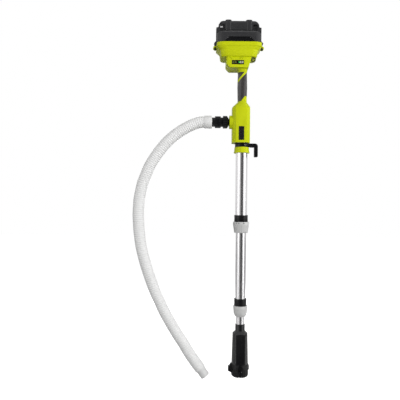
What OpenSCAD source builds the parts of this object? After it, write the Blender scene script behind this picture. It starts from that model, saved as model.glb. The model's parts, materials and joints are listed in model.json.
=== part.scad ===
// Telescoping pole pump, millimetres, +Z up, front towards -Y.
// The origin is the middle of the hook's underside, where the pump hangs.

/* [Pole] */
// Outside diameter of the upper tube
upper_tube_d = 38; // [34:0.5:44]
// Wall of the three tubes
tube_wall = 1.2; // [1:0.1:1.6]
// Radial room for a piston ring between one tube and the next
piston_room = 1.5; // [1.2:0.1:2]
// Length of the upper tube that shows under the hook's ring
upper_show = 198; // [140:1:260]
// Length of the middle tube that shows
middle_show = 210; // [120:1:280]
// Length of the lower tube that shows
lower_show = 24; // [12:1:60]
// How far the lower tube draws out of the middle one
lower_draw_l = 180; // [100:1:190]
// Height of the band that clamps the upper tube
upper_band_h = 21; // [16:0.5:28]
// Diameter of that band
upper_band_d = 43.5; // [43:0.5:46]
// Height of the upper twist nut
upper_nut_h = 35; // [30:0.5:44]
// Diameter of the upper twist nut at its lip
upper_nut_d = 51; // [50:0.5:56]
// Height of the band that clamps the middle tube
lower_band_h = 22; // [16:0.5:28]
// Diameter of that band
lower_band_d = 39.5; // [38:0.5:42]
// Height of the lower twist nut
lower_nut_h = 34.5; // [30:0.5:44]
// Diameter of the lower twist nut at its lip
lower_nut_d = 45; // [44:0.5:50]

/* [Hook] */
// Height of the hook's arm and of its ring round the pole
hook_h = 12; // [9:0.5:16]
// Outside diameter of the hook's ring
hook_ring_d = 43.5; // [42.5:0.5:48]
// Width of the hook from front to back
hook_w = 14; // [10:0.5:20]
// Room in the hook's throat, from the green ring to the leg
hook_throat = 14; // [10:0.5:24]
// Thickness of the hook's leg
hook_leg = 11.5; // [8:0.5:14]
// Drop of the leg under the seat
hook_drop = 31; // [20:1:45]
// Diameter of the green ring under the hook
ring_d = 51; // [48:0.5:56]
// Height of that ring
ring_h = 18.3; // [14:0.1:24]

/* [Body] */
// Width of the outlet body from left to right
body_w = 56; // [54:1:64]
// Depth of the outlet body
body_d = 56; // [54:1:64]
// Height of the outlet body's straight sides
body_h = 112; // [100:1:130]
// Height of the shoulder over the body
shoulder_h = 18; // [12:1:26]
// Length of the grip
grip_h = 94; // [84:1:120]
// Width of the grip from left to right
grip_w = 28.5; // [26:0.5:34]
// Depth of the grip
grip_d = 34; // [31:0.5:40]
// Height of the neck between grip and switch box
neck_h = 11; // [8:0.5:16]
// Height of the switch box
box_h = 34; // [32:1:46]
// Thickness of the power switch behind the battery's socket
switch_t = 3.6; // [3:0.1:6]
// Wall of the moulded housing
shell_wall = 2.5; // [2:0.1:3]

/* [Battery head] */
// Width of the head from left to right
head_w = 142; // [138:1:156]
// Depth of the head
head_d = 90; // [88:1:100]
// Height of the green tray
tray_h = 43; // [40:1:52]
// Height of the lid over the tray
lid_h = 36; // [32:1:44]
// Height of the carry handle over the lid
handle_h = 44; // [38:1:54]
// Width of the carry handle
handle_w = 144; // [136:1:150]
// Depth of the carry handle's bar
handle_d = 24; // [18:1:30]
// Width of the battery bay
bay_w = 118; // [110:1:120]
// Depth of the battery bay from front to back
bay_d = 78; // [72:1:80]
// Width of the socket under the bay that takes the battery's stem
stem_w = 47; // [40:1:50]
// Depth of that socket from front to back
stem_d = 33; // [28:1:36]
// How far the lid opens, degrees
lid_open = 100; // [80:1:105]

/* [Outlet] */
// Height of the outlet's axis over the hook's seat
port_z = 80; // [70:1:92]
// Diameter of the flange round the outlet
port_d = 43.5; // [38:0.5:46]
// Bore of the water way at the outlet
water_d = 17; // [14:0.5:18]
// Diameter of the coupling nut
coupler_d = 40; // [36:0.5:46]
// Diameter of the hose tail's ribbed barrel
barrel_d = 37.5; // [34:0.5:42]

/* [Hose] */
// Diameter over the hose's ribs
hose_d = 37; // [34:0.5:38]
// Bore of the hose
hose_bore = 28; // [27:0.5:29]
// Number of ribs along the hose
hose_ribs = 145; // [60:1:160]
// Diameter of the cuff at the hose's free end
end_cuff_d = 30; // [28:0.5:34]
// Length of that cuff
end_cuff_l = 26; // [20:1:36]

/* [Pump head] */
// Diameter of the pump body at its shoulder
pump_top_d = 48.3; // [47:0.1:52]
// Diameter of the pump body at its base
pump_base_d = 53.4; // [53:0.1:58]
// Height of the pump body under its neck
pump_h = 105; // [98:1:125]
// Diameter of the neck that holds the lower tube
neck_d = 31; // [30:0.5:36]
// Height of that neck
pump_neck_h = 21; // [16:1:30]
// Diameter of the motor's can
motor_d = 36; // [30:0.5:37]
// Diameter of the impeller
impeller_d = 41; // [34:0.5:42]
// Number of vanes on the impeller
vanes = 6; // [4:1:8]
// Diameter of the strainer
strainer_d = 54.5; // [54:0.1:60]
// Height of the strainer
strainer_h = 40; // [34:1:50]
// Number of slots round the strainer
strainer_slots = 20; // [12:1:24]

/* [Hidden] */

// Finish of curves: smooth ones, and those inside a hull
fine = 96;
soft = 32;
// Overrun of every cut, gap of a piece that is glued or clamped, of a running fit,
// and of pieces that only pass each other
over = 1;
glue = 0.05;
fit = 0.1;
gap = 0.3;
// Thickness of the slabs that a loft is drawn between
slab = 0.01;

// Tubes, each inside the one above
middle_tube_d = upper_tube_d - 2 * (tube_wall + piston_room);
lower_tube_d = middle_tube_d - 2 * (tube_wall + piston_room);
upper_bore = upper_tube_d - 2 * tube_wall;
middle_bore = middle_tube_d - 2 * tube_wall;
lower_bore = lower_tube_d - 2 * tube_wall;

// Heights down the pole
lip_gap = 0.5;
ring_low = -gap - ring_h;
upper_band_z = ring_low - upper_show;
upper_nut_z = upper_band_z - upper_band_h - lip_gap;
upper_nut_low = upper_nut_z - upper_nut_h;
lower_band_z = upper_nut_low - middle_show;
lower_nut_z = lower_band_z - lower_band_h - lip_gap;
lower_nut_low = lower_nut_z - lower_nut_h;
pump_z = lower_nut_low - lower_show;
pump_shoulder_z = pump_z - pump_neck_h;
pump_low = pump_shoulder_z - pump_h;
foot_z = pump_low - strainer_h;

// A clamp under a band: threaded skirt, collet under the tube's end, floor of the nut
skirt_wall = 2;
nut_floor = 2.5;
collet_h = 9;
skirt_lead = 6;
piston_h = 20;
piston_slack = 0.2;
seal_r = 1.1;
upper_tube_low = upper_nut_low + nut_floor + collet_h + 2 * gap;
middle_tube_low = lower_nut_low + nut_floor + collet_h + 2 * gap;
middle_overlap = 45;
middle_top = upper_tube_low + middle_overlap;
stop_room = 5;
middle_travel = middle_show - stop_room;
lower_overlap = 35;
lower_top = middle_tube_low + lower_overlap + lower_draw_l;
socket_h = 25;
lower_tube_low = pump_z - socket_h;

// Hook
hook_corner = 9;
hook_tip = 5;
hook_inner = ring_d / 2 + hook_throat;
seat_x = ring_d / 2 + hook_throat / 2;
screw_d = 3.2;
screw_head_d = 6.4;
screw_head_h = 2.4;
hook_screw_x = 9.4;
seat_relief = 1;

// Outlet body
body_x = -3.7;
body_z = hook_h + 2 * gap + lip_gap;
body_top = body_z + body_h;
shoulder_z = body_top + shoulder_h;
grip_top = shoulder_z + grip_h;
box_z = grip_top + neck_h;
box_top = box_z + box_h;
body_chamfer = 10.5;
core_wall = 3.2;
core_r = 9;
grip_r = 13.5;
wire_bore = 9;
tongue_low = 2;
tongue_rise = 18;
box_left = 53;
box_right = 26;
box_right_low = 17;
box_chamfer = 11;
box_bevel = 4;
box_y = 2;
column_x = 0.5;
column_step = 2;
neck_w = 33;
neck_d_y = 38;

// Badge, indicator and the panel round them
badge_w = 17;
badge_h = 43;
badge_z = 42;
badge_t = 1.6;
window_w = 37.6;
window_h = 12.9;
window_t = 2.2;
window_x = -17;
window_low = 9;
window_z = box_z + window_h / 2 + window_low;
light_d = 4;
light_x = 4;
panel_h = 9;
panel_top_w = 40;
panel_low_w = 26;
panel_t = 1.2;

// Battery head
head_x = -13;
head_y = 4;
tray_top = box_top + tray_h;
front_cut = 24;
rear_cut = 8;
corner_share = 0.6;
corner_step = 22.5;
bay_cut = 24;
bay_depth = 20;
bay_floor = tray_top - bay_depth;
stem_wall = 2.5;
stem_r = 6;
stem_floor = box_z + 12;
gasket_w = 3;
gasket_h = 3;
lid_wall = 2.5;
lid_z = tray_top + gap;
lid_top = lid_z + lid_h;
lid_shrink = 3;
lid_shoulder = 6;
lid_inset = 7;
dish_r = 30;
dish_depth = 10;
// Tiers of the tray: share of its height, of the head's width and of its depth
tray_tier_shares = [
  [0.00, 0.77, 0.80], [0.10, 0.81, 0.84], [0.48, 0.84, 0.88], [0.70, 0.97, 0.97], [0.74, 1.00, 1.00],
  [1.00, 1.00, 1.00]
];

// Hinge of the lid, behind the tray
hinge_pin_d = 4;
hinge_half = 44;
ear_r = 5;
ear_t = 6;
ear_drop = 12;
cheek_t = 6;
hinge_back = 6;
hinge_y = head_y + head_d / 2 + hinge_back;
hinge_rise = 2.5;
hinge_z = tray_top + hinge_rise;
gusset_h = 14;

// Strap eyes at the sides of the tray, and the skirts of the lid over them
strap_eye_d = 14;
strap_hole = 6;
strap_eye_t = 6;
strap_eye_out = 3.5;
strap_eye_y = head_y;
strap_eye_z = tray_top - gap - strap_eye_d / 2;
skirt_out = 10;
skirt_w = 20;
skirt_rise = 6;

// Latch in the lid's front
recess_low_w = 98;
recess_top_w = 68;
recess_h = 15.5;
recess_t = 7;
recess_wall = 2;
latch_t = 4;
latch_gap = 0.8;
latch_swing_gap = 4;
latch_pin_d = 2.5;
latch_open = 40;

// Carry handle: its posts, its bar, the bands round the bar's ends and the pockets beside them
handle_post = 13;
handle_bar = 29;
handle_bump = 3;
handle_round = 9;
leg_rise = 13.6;
band_x = 33;
band_w = 20;
band_proud = 1.5;
band_round = 7;
pocket_x = 52;
pocket_w = 15;
pocket_h = 20;
pocket_t = 10;
pocket_drop = 25;
cord_hole_w = 10;
cord_hole_h = 6.5;
cord_hole_x = -55;
cord_hole_drop = 17;
// Outline of the handle: share of its half width, and share of its height below its top
handle_shares = [[0.62, 0], [0.71, 0.03], [0.81, 0.12], [0.89, 0.30], [0.91, 0.50], [1.00, 0.54]];

// Power button in the rear of the switch box
button_d = 14;
button_flange_d = 17;
button_flange_t = 2;
button_proud = 3;
button_travel = 2;
switch_w = 13;
button_x = -11;
box_d = 2 * (head_y - box_y + stem_d / 2 + stem_wall + 3 * gap + switch_t + button_travel + button_flange_t
  + shell_wall);
button_rise = 17;
button_z = box_z + button_rise;

// Loop at the right of the switch box
loop_d = 14.7;
loop_hole = 8;
loop_t = 5;
loop_down = 1;
loop_z = box_top - loop_d / 2 - loop_down;
loop_y = box_y - box_d / 2 + box_bevel + loop_t;

// Manifold and outlet
barrel_wall = 2.1;
manifold_d = upper_tube_d + 2 * (glue + barrel_wall);
manifold_z = body_z + shell_wall + gap;
tube_seat = 32;
tube_seat_z = manifold_z + tube_seat;
manifold_cap = 4;
manifold_top = port_z + port_d / 2 + manifold_cap;
manifold_chamber = 30;
spigot_d = 21;
spigot_flange_d = 29;
spigot_flange_t = 3;
port_sides = 12;
port_out = 9;
port_in = 8;
gland_d = 16;
gland_h = 7;
lead_d = 5;
body_left = body_x - body_w / 2;
nut_play = 2;
nut_cone = 5.3;
nut_low_d = 24;
nut_l = 18;
nut_x = body_left - port_out - nut_play;
thread_d = 30;
thread_in = 3;
thread_show = 7.5;
washer_t = 1.6;
barrel_l = 18;
collar_d = 29.5;
collar_l = 9.8;
barb_l = 20;
barb_d = 26;
barb_step = 0.7;
nut_end_x = nut_x - nut_l;
spigot_end_x = nut_end_x + thread_in + washer_t + 2 * glue;
tail_x = nut_end_x + thread_in;
barrel_x = nut_end_x - thread_show;
collar_x = barrel_x - barrel_l;
hose_x = collar_x - collar_l;

// Hose: its route, hanging from the outlet to its free end
near_cuff_l = 24;
near_cuff_wall = 1.4;
rib_depth = 2;
rib_shares = [0.15, 0.65];
bore_rings = 72;
hose_sides = 8;
end_lean = 36;
end_collar_t = 3;
end_collar_d = 35;
end_spigot_l = 16;
end_bore = 22;
route = [
  [-96, 80], [-115, 80], [-134, 79], [-161, 70], [-189, 55], [-216, 36], [-240, 14], [-261, -11],
  [-279, -37], [-294, -62], [-305, -88], [-315, -114], [-321, -139], [-326, -165], [-328, -191],
  [-329, -216], [-328, -242], [-326, -268], [-323, -293], [-319, -319], [-313, -344], [-306, -370],
  [-298, -395], [-289, -421], [-280, -446], [-269, -472], [-257, -497], [-245, -523], [-231, -548],
  [-216, -574], [-200, -600], [-183, -625], [-166, -653], [-149, -678], [-138, -693], [-127, -708]
];

// Pump head
shoulder_drop = 8;
bore_wall = 2.4;
bore_ease = 0.4;
pump_bore = pump_top_d - 2 * bore_wall + bore_ease;
motor_drop = 20;
motor_top = pump_shoulder_z - motor_drop;
motor_h = 66;
shaft_d = 5;
shaft_in = 16;
diffuser_t = 3;
diffuser_slots = 8;
seal_d = 13;
seal_h = 4;
seal_z = motor_top - motor_h - gap;
hub_d = 10;
disc_t = 2;
disc_gap = 4;
vane_h = 13;
vane_t = 1.6;
vane_gap = 0.6;
eye_d = 18;
suction_t = 3;
skirt_gap = gap;
strainer_wall = 2.2;
skirt_h = 13;
panel_w = 32;
panel_proud = 1.4;
panel_margin = 6;
strainer_round = 6;
slot_w = 2.6;
slot_top = 11;
slot_in_share = 0.62;
strainer_floor = 2.5;
lug_w = 12;
lug_out = 37.4;
lug_mid = 31;
lug_h = 24;
lug_right = 29.2;
lug_right_h = 18;
arch_d = 20;
arch_t = 2.4;
arch_proud = 1;
strainer_travel = 30;

// Puts the pole beside the origin, which is in the hook's throat
module placed() {
  translate([-seat_x, 0, 0]) children();
}

module along_y(y_front, y_back) {
  translate([0, y_back, 0]) rotate([90, 0, 0]) linear_extrude(y_back - y_front) children();
}

module along_x(x_left, x_right) {
  translate([x_left, 0, 0]) rotate([90, 0, 90]) linear_extrude(x_right - x_left) children();
}

module rod_x(x_left, x_right, d) {
  translate([x_left, 0, 0]) rotate([0, 90, 0]) cylinder(d = d, h = x_right - x_left, $fn = fine);
}

module rod_y(y_front, y_back, d) {
  translate([0, y_back, 0]) rotate([90, 0, 0]) cylinder(d = d, h = y_back - y_front, $fn = fine);
}

module pipe(z_low, z_top, d_out, d_in) {
  difference() {
    translate([0, 0, z_low]) cylinder(d = d_out, h = z_top - z_low, $fn = fine);
    translate([0, 0, z_low - over]) cylinder(d = d_in, h = z_top - z_low + 2 * over, $fn = fine);
  }
}

module round_rect(w, d, r, sides = fine) {
  square([w - 2 * r, d], center = true);
  square([w, d - 2 * r], center = true);
  for (sx = [-1, 1], sy = [-1, 1]) translate([sx * (w / 2 - r), sy * (d / 2 - r)]) circle(r, $fn = sides);
}

// Plan of the head: wide rounded corners at the front, small cut ones at the back
module head_plan(w, d, front, rear) {
  deep = front * corner_share;
  polygon(concat(
    [for (a = [0:corner_step:90]) [-w / 2 + front * (1 - cos(a)), -d / 2 + deep * (1 - sin(a))]],
    [for (a = [0:corner_step:90]) [w / 2 - front * (1 - sin(a)), -d / 2 + deep * (1 - cos(a))]],
    [[w / 2, d / 2 - rear], [w / 2 - rear, d / 2], [-w / 2 + rear, d / 2], [-w / 2, d / 2 - rear]]
  ));
}

module head_slab(z, w, d, front, rear) {
  translate([head_x, head_y, z]) linear_extrude(slab) head_plan(w, d, front, rear);
}

module octagon(w, d, cut) {
  polygon([
    [-w / 2 + cut, -d / 2], [w / 2 - cut, -d / 2], [w / 2, -d / 2 + cut], [w / 2, d / 2 - cut],
    [w / 2 - cut, d / 2], [-w / 2 + cut, d / 2], [-w / 2, d / 2 - cut], [-w / 2, -d / 2 + cut]
  ]);
}

// Battery tray: stepped tub with the bay, the stem's socket and the hinge ears
module tray_form() {
  for (i = [0:len(tray_tier_shares) - 2]) {
    low = tray_tier_shares[i];
    high = tray_tier_shares[i + 1];
    hull() {
      head_slab(box_top + low[0] * tray_h, low[1] * head_w, low[2] * head_d, front_cut, rear_cut);
      head_slab(box_top + high[0] * tray_h - slab, high[1] * head_w, high[2] * head_d, front_cut, rear_cut);
    }
  }
}

module stem_well(w, d, r, z_low, z_top) {
  translate([head_x, head_y, z_low]) linear_extrude(z_top - z_low) round_rect(w, d, r);
}

module hinge_ear(side) {
  x = side > 0 ? hinge_half : -hinge_half - ear_t;
  wall_y = head_y + head_d / 2 - over;
  translate([head_x, 0, 0]) {
    translate([x, hinge_y, hinge_z]) rod_x(0, ear_t, 2 * ear_r);
    along_x(x, x + ear_t) polygon([
      [wall_y, tray_top - ear_drop], [hinge_y - ear_r / 2, tray_top - ear_drop], [hinge_y + ear_r, hinge_z],
      [hinge_y - ear_r, hinge_z], [wall_y, tray_top - over]
    ]);
  }
}

module strap_eye(side) {
  x = head_w / 2 + strap_eye_out;
  difference() {
    translate([head_x, strap_eye_y - strap_eye_t / 2, strap_eye_z]) union() {
      translate([side * x, 0, 0]) rod_y(0, strap_eye_t, strap_eye_d);
      translate([side > 0 ? head_w / 2 - over : -x, 0, -strap_eye_d / 2 + over]) cube([strap_eye_out + over, strap_eye_t, strap_eye_d - 2 * over]);
    }
    translate([head_x + side * x, strap_eye_y, strap_eye_z]) rod_y(-strap_eye_t, strap_eye_t, strap_hole);
  }
}

module battery_tray() {
  color([0.73, 0.78, 0.08]) placed() difference() {
    union() {
      tray_form();
      stem_well(stem_w + 2 * stem_wall, stem_d + 2 * stem_wall, stem_r, stem_floor - stem_wall, box_top + over);
      for (side = [-1, 1]) {
        hinge_ear(side);
        strap_eye(side);
      }
    }
    translate([head_x, head_y, bay_floor]) linear_extrude(bay_depth + over) head_plan(bay_w, bay_d, bay_cut, rear_cut);
    stem_well(stem_w, stem_d, stem_r - stem_wall, stem_floor, bay_floor + over);
    translate([head_x, head_y, tray_top - gasket_h]) linear_extrude(gasket_h + over) difference() {
      head_plan(bay_w + 2 * (stem_wall + gasket_w), bay_d + stem_wall + 2 * gasket_w, bay_cut + gasket_w, rear_cut);
      head_plan(bay_w + 2 * stem_wall, bay_d + stem_wall, bay_cut + stem_wall / 2, rear_cut);
    }
    translate([head_x, hinge_y, hinge_z])
      rod_x(-hinge_half - ear_t - over, hinge_half + ear_t + over, hinge_pin_d + 2 * glue);
  }
}

module lid_gasket() {
  color([0.13, 0.13, 0.13]) placed() translate([head_x, head_y, tray_top - gasket_h + glue])
    linear_extrude(gasket_h - glue) difference() {
      head_plan(bay_w + 2 * (stem_wall + gasket_w - glue), bay_d + stem_wall + 2 * (gasket_w - glue),
        bay_cut + gasket_w, rear_cut);
      head_plan(bay_w + 2 * (stem_wall + glue), bay_d + stem_wall + 2 * glue, bay_cut + stem_wall / 2, rear_cut);
    }
}

module lid_form(inset, drop) {
  w = head_w - lid_shrink - 2 * inset;
  d = head_d - lid_shrink - 2 * inset;
  top = lid_top - drop;
  hull() {
    head_slab(lid_z - drop, w, d, front_cut, rear_cut);
    head_slab(top - lid_shoulder, w, d, front_cut, rear_cut);
    head_slab(top - slab, w - 2 * lid_inset, d - 2 * lid_inset, front_cut, rear_cut);
  }
}

module dish(extra) {
  translate([head_x, head_y, lid_top + dish_r - dish_depth])
    rod_x(-handle_w / 2 + handle_post - extra, handle_w / 2 - handle_post + extra, 2 * (dish_r + extra));
}

module recess_outline(grow, low) {
  polygon([
    [-recess_low_w / 2 - grow, low], [recess_low_w / 2 + grow, low],
    [recess_top_w / 2 + grow, recess_h + grow], [-recess_top_w / 2 - grow, recess_h + grow]
  ]);
}

lid_front = head_y - head_d / 2 + lid_shrink / 2;

module lid_cheek(side) {
  lid_rear = head_y + head_d / 2 - lid_shrink / 2 - over;
  x0 = side > 0 ? hinge_half + ear_t + gap : -hinge_half - ear_t - gap - cheek_t;
  translate([head_x, 0, 0]) {
    translate([x0, hinge_y, hinge_z]) rod_x(0, cheek_t, 2 * ear_r);
    along_x(x0, x0 + cheek_t) polygon([
      [lid_rear, hinge_z], [hinge_y + ear_r, hinge_z], [hinge_y + ear_r / 2, hinge_z + ear_r],
      [lid_rear, hinge_z + gusset_h]
    ]);
  }
}

module lid_skirt(side) {
  wall = head_w / 2 - lid_shrink / 2 - over;
  translate([head_x, 0, lid_z]) along_y(strap_eye_y - skirt_w / 2, strap_eye_y + skirt_w / 2) polygon([
    [side * wall, 0], [side * (wall + skirt_out - lid_shrink), 0], [side * (wall + skirt_out), skirt_rise],
    [side * (handle_w / 2), leg_rise - gap], [side * wall, leg_rise - gap]
  ]);
}

module lid() {
  color([0.14, 0.14, 0.15]) placed() difference() {
    union() {
      difference() {
        lid_form(0, 0);
        difference() {
          lid_form(lid_wall, lid_wall);
          dish(lid_wall);
          translate([head_x, 0, lid_z]) along_y(lid_front - over, lid_front + recess_t + recess_wall)
            recess_outline(recess_wall, -over);
        }
      }
      for (side = [-1, 1]) {
        lid_cheek(side);
        lid_skirt(side);
      }
    }
    dish(0);
    translate([head_x, 0, lid_z]) along_y(lid_front - over, lid_front + recess_t) recess_outline(0, -over);
    translate([head_x, lid_front + recess_t / 2, lid_z + recess_h - latch_pin_d])
      rod_x(-recess_top_w / 2 - 2 * recess_wall, recess_top_w / 2 + 2 * recess_wall, latch_pin_d + 2 * glue);
    translate([head_x, hinge_y, hinge_z])
      rod_x(-hinge_half - ear_t - 2 * gap - cheek_t, hinge_half + ear_t + 2 * gap + cheek_t, hinge_pin_d + 2 * fit);
  }
}

module lid_hinge_pins() {
  outer = hinge_half + ear_t + gap + cheek_t;
  color([0.7, 0.71, 0.73]) placed() translate([head_x, hinge_y, hinge_z]) {
    rod_x(hinge_half, outer, hinge_pin_d);
    rod_x(-outer, -hinge_half, hinge_pin_d);
  }
}

module latch_pin() {
  color([0.75, 0.76, 0.78]) placed() translate([head_x, lid_front + recess_t / 2, lid_z + recess_h - latch_pin_d])
    rod_x(-recess_top_w / 2 - recess_wall, recess_top_w / 2 + recess_wall, latch_pin_d);
}

module lid_latch() {
  y_front = lid_front + (recess_t - latch_t) / 2;
  color([0.16, 0.16, 0.17]) placed() translate([head_x, 0, lid_z]) difference() {
    union() {
      along_y(y_front, y_front + latch_t) latch_outline();
      translate([0, y_front + latch_t / 2, recess_h - latch_pin_d])
        rod_x(-recess_top_w / 2 + latch_gap, recess_top_w / 2 - latch_gap, latch_t);
    }
    translate([0, y_front + latch_t / 2, recess_h - latch_pin_d])
      rod_x(-recess_low_w / 2, recess_low_w / 2, latch_pin_d + 2 * fit);
    along_y(y_front - over, y_front + latch_t / 4) translate([0, latch_pin_d])
      square([recess_top_w / 2, latch_pin_d], center = true);
  }
}

module latch_outline() {
  polygon([
    [-recess_low_w / 2 + latch_swing_gap, latch_gap], [recess_low_w / 2 - latch_swing_gap, latch_gap],
    [recess_top_w / 2 - latch_gap, recess_h - latch_pin_d], [-recess_top_w / 2 + latch_gap, recess_h - latch_pin_d]
  ]);
}

// Carry handle: an arch over the lid, seated on its shoulders and flanking its sides
module handle_outline() {
  top = lid_top + handle_h;
  low = top - handle_bump - handle_bar;
  half = handle_w / 2;
  inner = half - handle_post;
  sides = [for (s = handle_shares) [s[0] * half, top - handle_bump - s[1] * (handle_h - handle_bump)]];
  last = len(sides) - 1;
  difference() {
    polygon(concat(
      [[-half, lid_z + leg_rise]], [for (i = [last:-1:0]) [-sides[i][0], sides[i][1]]], sides,
      [[half, lid_z + leg_rise]]
    ));
    translate([0, (lid_z + low) / 2]) round_rect(2 * inner, low - lid_z, handle_round / 2);
    translate([cord_hole_x, top - cord_hole_drop]) round_rect(cord_hole_w, cord_hole_h, cord_hole_h / 4);
  }
}

module carry_handle() {
  top = lid_top + handle_h;
  low = top - handle_bump - handle_bar - band_proud;
  front = head_y - handle_d / 2;
  color([0.15, 0.15, 0.16]) placed() difference() {
    union() {
      intersection() {
        translate([head_x, 0, 0]) along_y(front, front + handle_d) handle_outline();
        translate([head_x, head_y, lid_z]) along_x(-handle_w, handle_w)
          translate([0, handle_h / 2]) round_rect(handle_d, 2 * (top - handle_bump - lid_z) - handle_h, handle_round);
      }
      for (side = [-1, 1]) translate([head_x + side * band_x, head_y, low]) linear_extrude(top - low)
        round_rect(band_w, handle_d + 2 * band_proud, band_round);
    }
    lid_form(0, 0);
    for (side = [-1, 1]) translate([head_x + side * pocket_x, 0, top - pocket_drop])
      along_y(front - over, front + pocket_t) round_rect(pocket_w, pocket_h, pocket_w / 4);
  }
}

// Switch box, neck, grip core and outlet body, moulded as a front and a rear half
module box_outline(inset) {
  polygon([
    [-box_left + inset, box_top], [-box_left + inset, box_z + box_chamfer],
    [-box_left + box_chamfer + inset / 2, box_z + inset], [box_right_low - inset, box_z + inset],
    [box_right - inset, box_top]
  ]);
}

module box_form(inset) {
  cx = (box_right - box_left) / 2;
  intersection() {
    along_y(box_y - box_d / 2 + inset, box_y + box_d / 2 - inset) box_outline(inset);
    translate([cx, box_y, box_z]) linear_extrude(box_h)
      octagon(box_right + box_left - 2 * inset, box_d - 2 * inset, box_bevel);
  }
}

module grip_section(z, w, d, r) {
  translate([0, 0, z]) linear_extrude(slab) round_rect(w, d, r, soft);
}

module tongue() {
  intersection() {
    translate([0, 0, shoulder_z - slab]) linear_extrude(tongue_rise + tongue_low)
      round_rect(grip_w, grip_d, grip_r);
    along_y(-grip_d, grip_d) polygon([
      [-grip_w, shoulder_z - over], [-grip_w / 6, shoulder_z + tongue_low], [grip_w / 4, shoulder_z + tongue_rise],
      [grip_w, shoulder_z + tongue_rise], [grip_w, shoulder_z - over]
    ]);
  }
}

module body_plan(inset) {
  octagon(body_w - 2 * inset, body_d - 2 * inset, body_chamfer - inset / 2);
}

module housing_form() {
  box_form(0);
  hull() {
    grip_section(grip_top, grip_w, grip_d, grip_r);
    grip_section(box_z + over, neck_w, neck_d_y, grip_r);
  }
  translate([0, 0, shoulder_z - over]) linear_extrude(grip_h + 2 * over)
    round_rect(grip_w - 2 * core_wall, grip_d - 2 * core_wall, core_r);
  tongue();
  hull() {
    translate([body_x, 0, body_top - slab]) linear_extrude(slab) body_plan(0);
    grip_section(shoulder_z - slab, grip_w + lip_gap, grip_d + lip_gap, grip_r);
  }
  translate([body_x, 0, body_z]) linear_extrude(body_h) body_plan(0);
}

// Places of the housing's screws: across as a share of the body's half width or the box's, and height
screw_edge = 6.5;
screw_seat = 19;
screw_tip = 13;
screw_rise = 14;
screw_drop = 9;
screw_places = [
  [body_left + screw_edge, body_z + screw_rise], [body_left + screw_edge, body_top - screw_drop],
  [-body_left / 2, body_top - screw_drop], [-box_left + screw_edge, box_top - screw_rise],
  [-neck_w / 3, box_z - screw_drop / 2], [neck_w / 3, box_z - screw_drop / 2]
];
boss_d = 9.4;

module housing_space() {
  box_form(shell_wall);
  translate([head_x, head_y, box_top - over]) linear_extrude(2 * over)
    round_rect(stem_w + 2 * (stem_wall + gap), stem_d + 2 * (stem_wall + gap), stem_r);
  translate([body_x, 0, body_z + shell_wall]) linear_extrude(manifold_top + gland_h + gap - body_z - shell_wall)
    body_plan(shell_wall);
  translate([0, 0, body_z]) cylinder(d = wire_bore, h = box_z + shell_wall + over - body_z, $fn = fine);
}

module housing_cuts() {
  difference() {
    housing_space();
    for (p = screw_places) translate([p[0], 0, p[1]]) rod_y(-body_d, body_d, boss_d);
  }
  translate([0, 0, body_z + shell_wall]) cylinder(d = manifold_d + 2 * gap,
    h = manifold_top + gland_h + gap - body_z - shell_wall, $fn = fine);
  translate([0, 0, body_z - over]) cylinder(d = upper_tube_d + 2 * gap, h = shell_wall + 2 * over, $fn = fine);
  translate([0, 0, port_z]) rotate([0, -90, 0]) cylinder(d = port_d + 2 * glue, h = body_w, $fn = port_sides);
  translate([window_x, 0, window_z]) along_y(box_y - box_d / 2 - over, box_y - box_d / 2 + window_t)
    square([window_w + 2 * glue, window_h + 2 * glue], center = true);
  translate([window_x, 0, window_z]) along_y(box_y - box_d / 2, box_y - box_d / 2 + 2 * shell_wall)
    square([window_w - 2 * shell_wall, window_h - 2 * shell_wall], center = true);
  translate([window_x, 0, box_top]) along_y(box_y - box_d / 2 - over, box_y - box_d / 2 + panel_t) polygon([
    [-panel_top_w / 2, over], [panel_top_w / 2, over], [panel_low_w / 2, -panel_h], [-panel_low_w / 2, -panel_h]
  ]);
  translate([column_x, box_y - box_d / 2 - over, box_z - over]) cube([box_right + over, column_step + over, box_h + 2 * over]);
  translate([body_x, 0, badge_z]) along_y(-body_d / 2 - over, -body_d / 2 + badge_t)
    square([badge_w + 2 * glue, badge_h + 2 * glue], center = true);
  translate([button_x, 0, button_z]) rod_y(0, box_d, button_d + 2 * gap);
  for (p = screw_places) translate([p[0], 0, p[1]]) {
    rod_y(-screw_tip - gap, body_d, screw_d + 2 * glue);
    rod_y(screw_seat, body_d, screw_head_d + 2 * gap);
  }
}

module front_shell() {
  color([0.73, 0.78, 0.08]) placed() difference() {
    intersection() {
      housing_form();
      translate([-head_w, -head_d, 0]) cube([2 * head_w, head_d - glue, box_top]);
    }
    housing_cuts();
  }
}

module rear_shell() {
  color([0.73, 0.78, 0.08]) placed() difference() {
    intersection() {
      housing_form();
      translate([-head_w, glue, 0]) cube([2 * head_w, head_d, box_top]);
    }
    housing_cuts();
  }
}

module shell_screws() {
  color([0.6, 0.61, 0.63]) placed() for (p = screw_places) translate([p[0], 0, p[1]]) difference() {
    union() {
      rod_y(-screw_tip, screw_seat + over, screw_d);
      rod_y(screw_seat + glue, screw_seat + screw_head_h, screw_head_d);
    }
    translate([0, screw_seat + screw_head_h + over, 0]) cube([screw_d, 2 * over + screw_head_h / 2, screw_d / 3], center = true);
  }
}

module power_button() {
  back = box_y + box_d / 2;
  color([0.12, 0.12, 0.12]) placed() translate([button_x, 0, button_z]) difference() {
    union() {
      rod_y(back - shell_wall - gap - button_flange_t, back + button_proud, button_d);
      rod_y(back - shell_wall - gap - button_flange_t, back - shell_wall - gap, button_flange_d);
    }
    translate([0, back + button_proud + dome_r - dome_sink, 0]) sphere(r = dome_r, $fn = fine);
  }
}
dome_r = 24;
dome_sink = 0.8;

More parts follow.
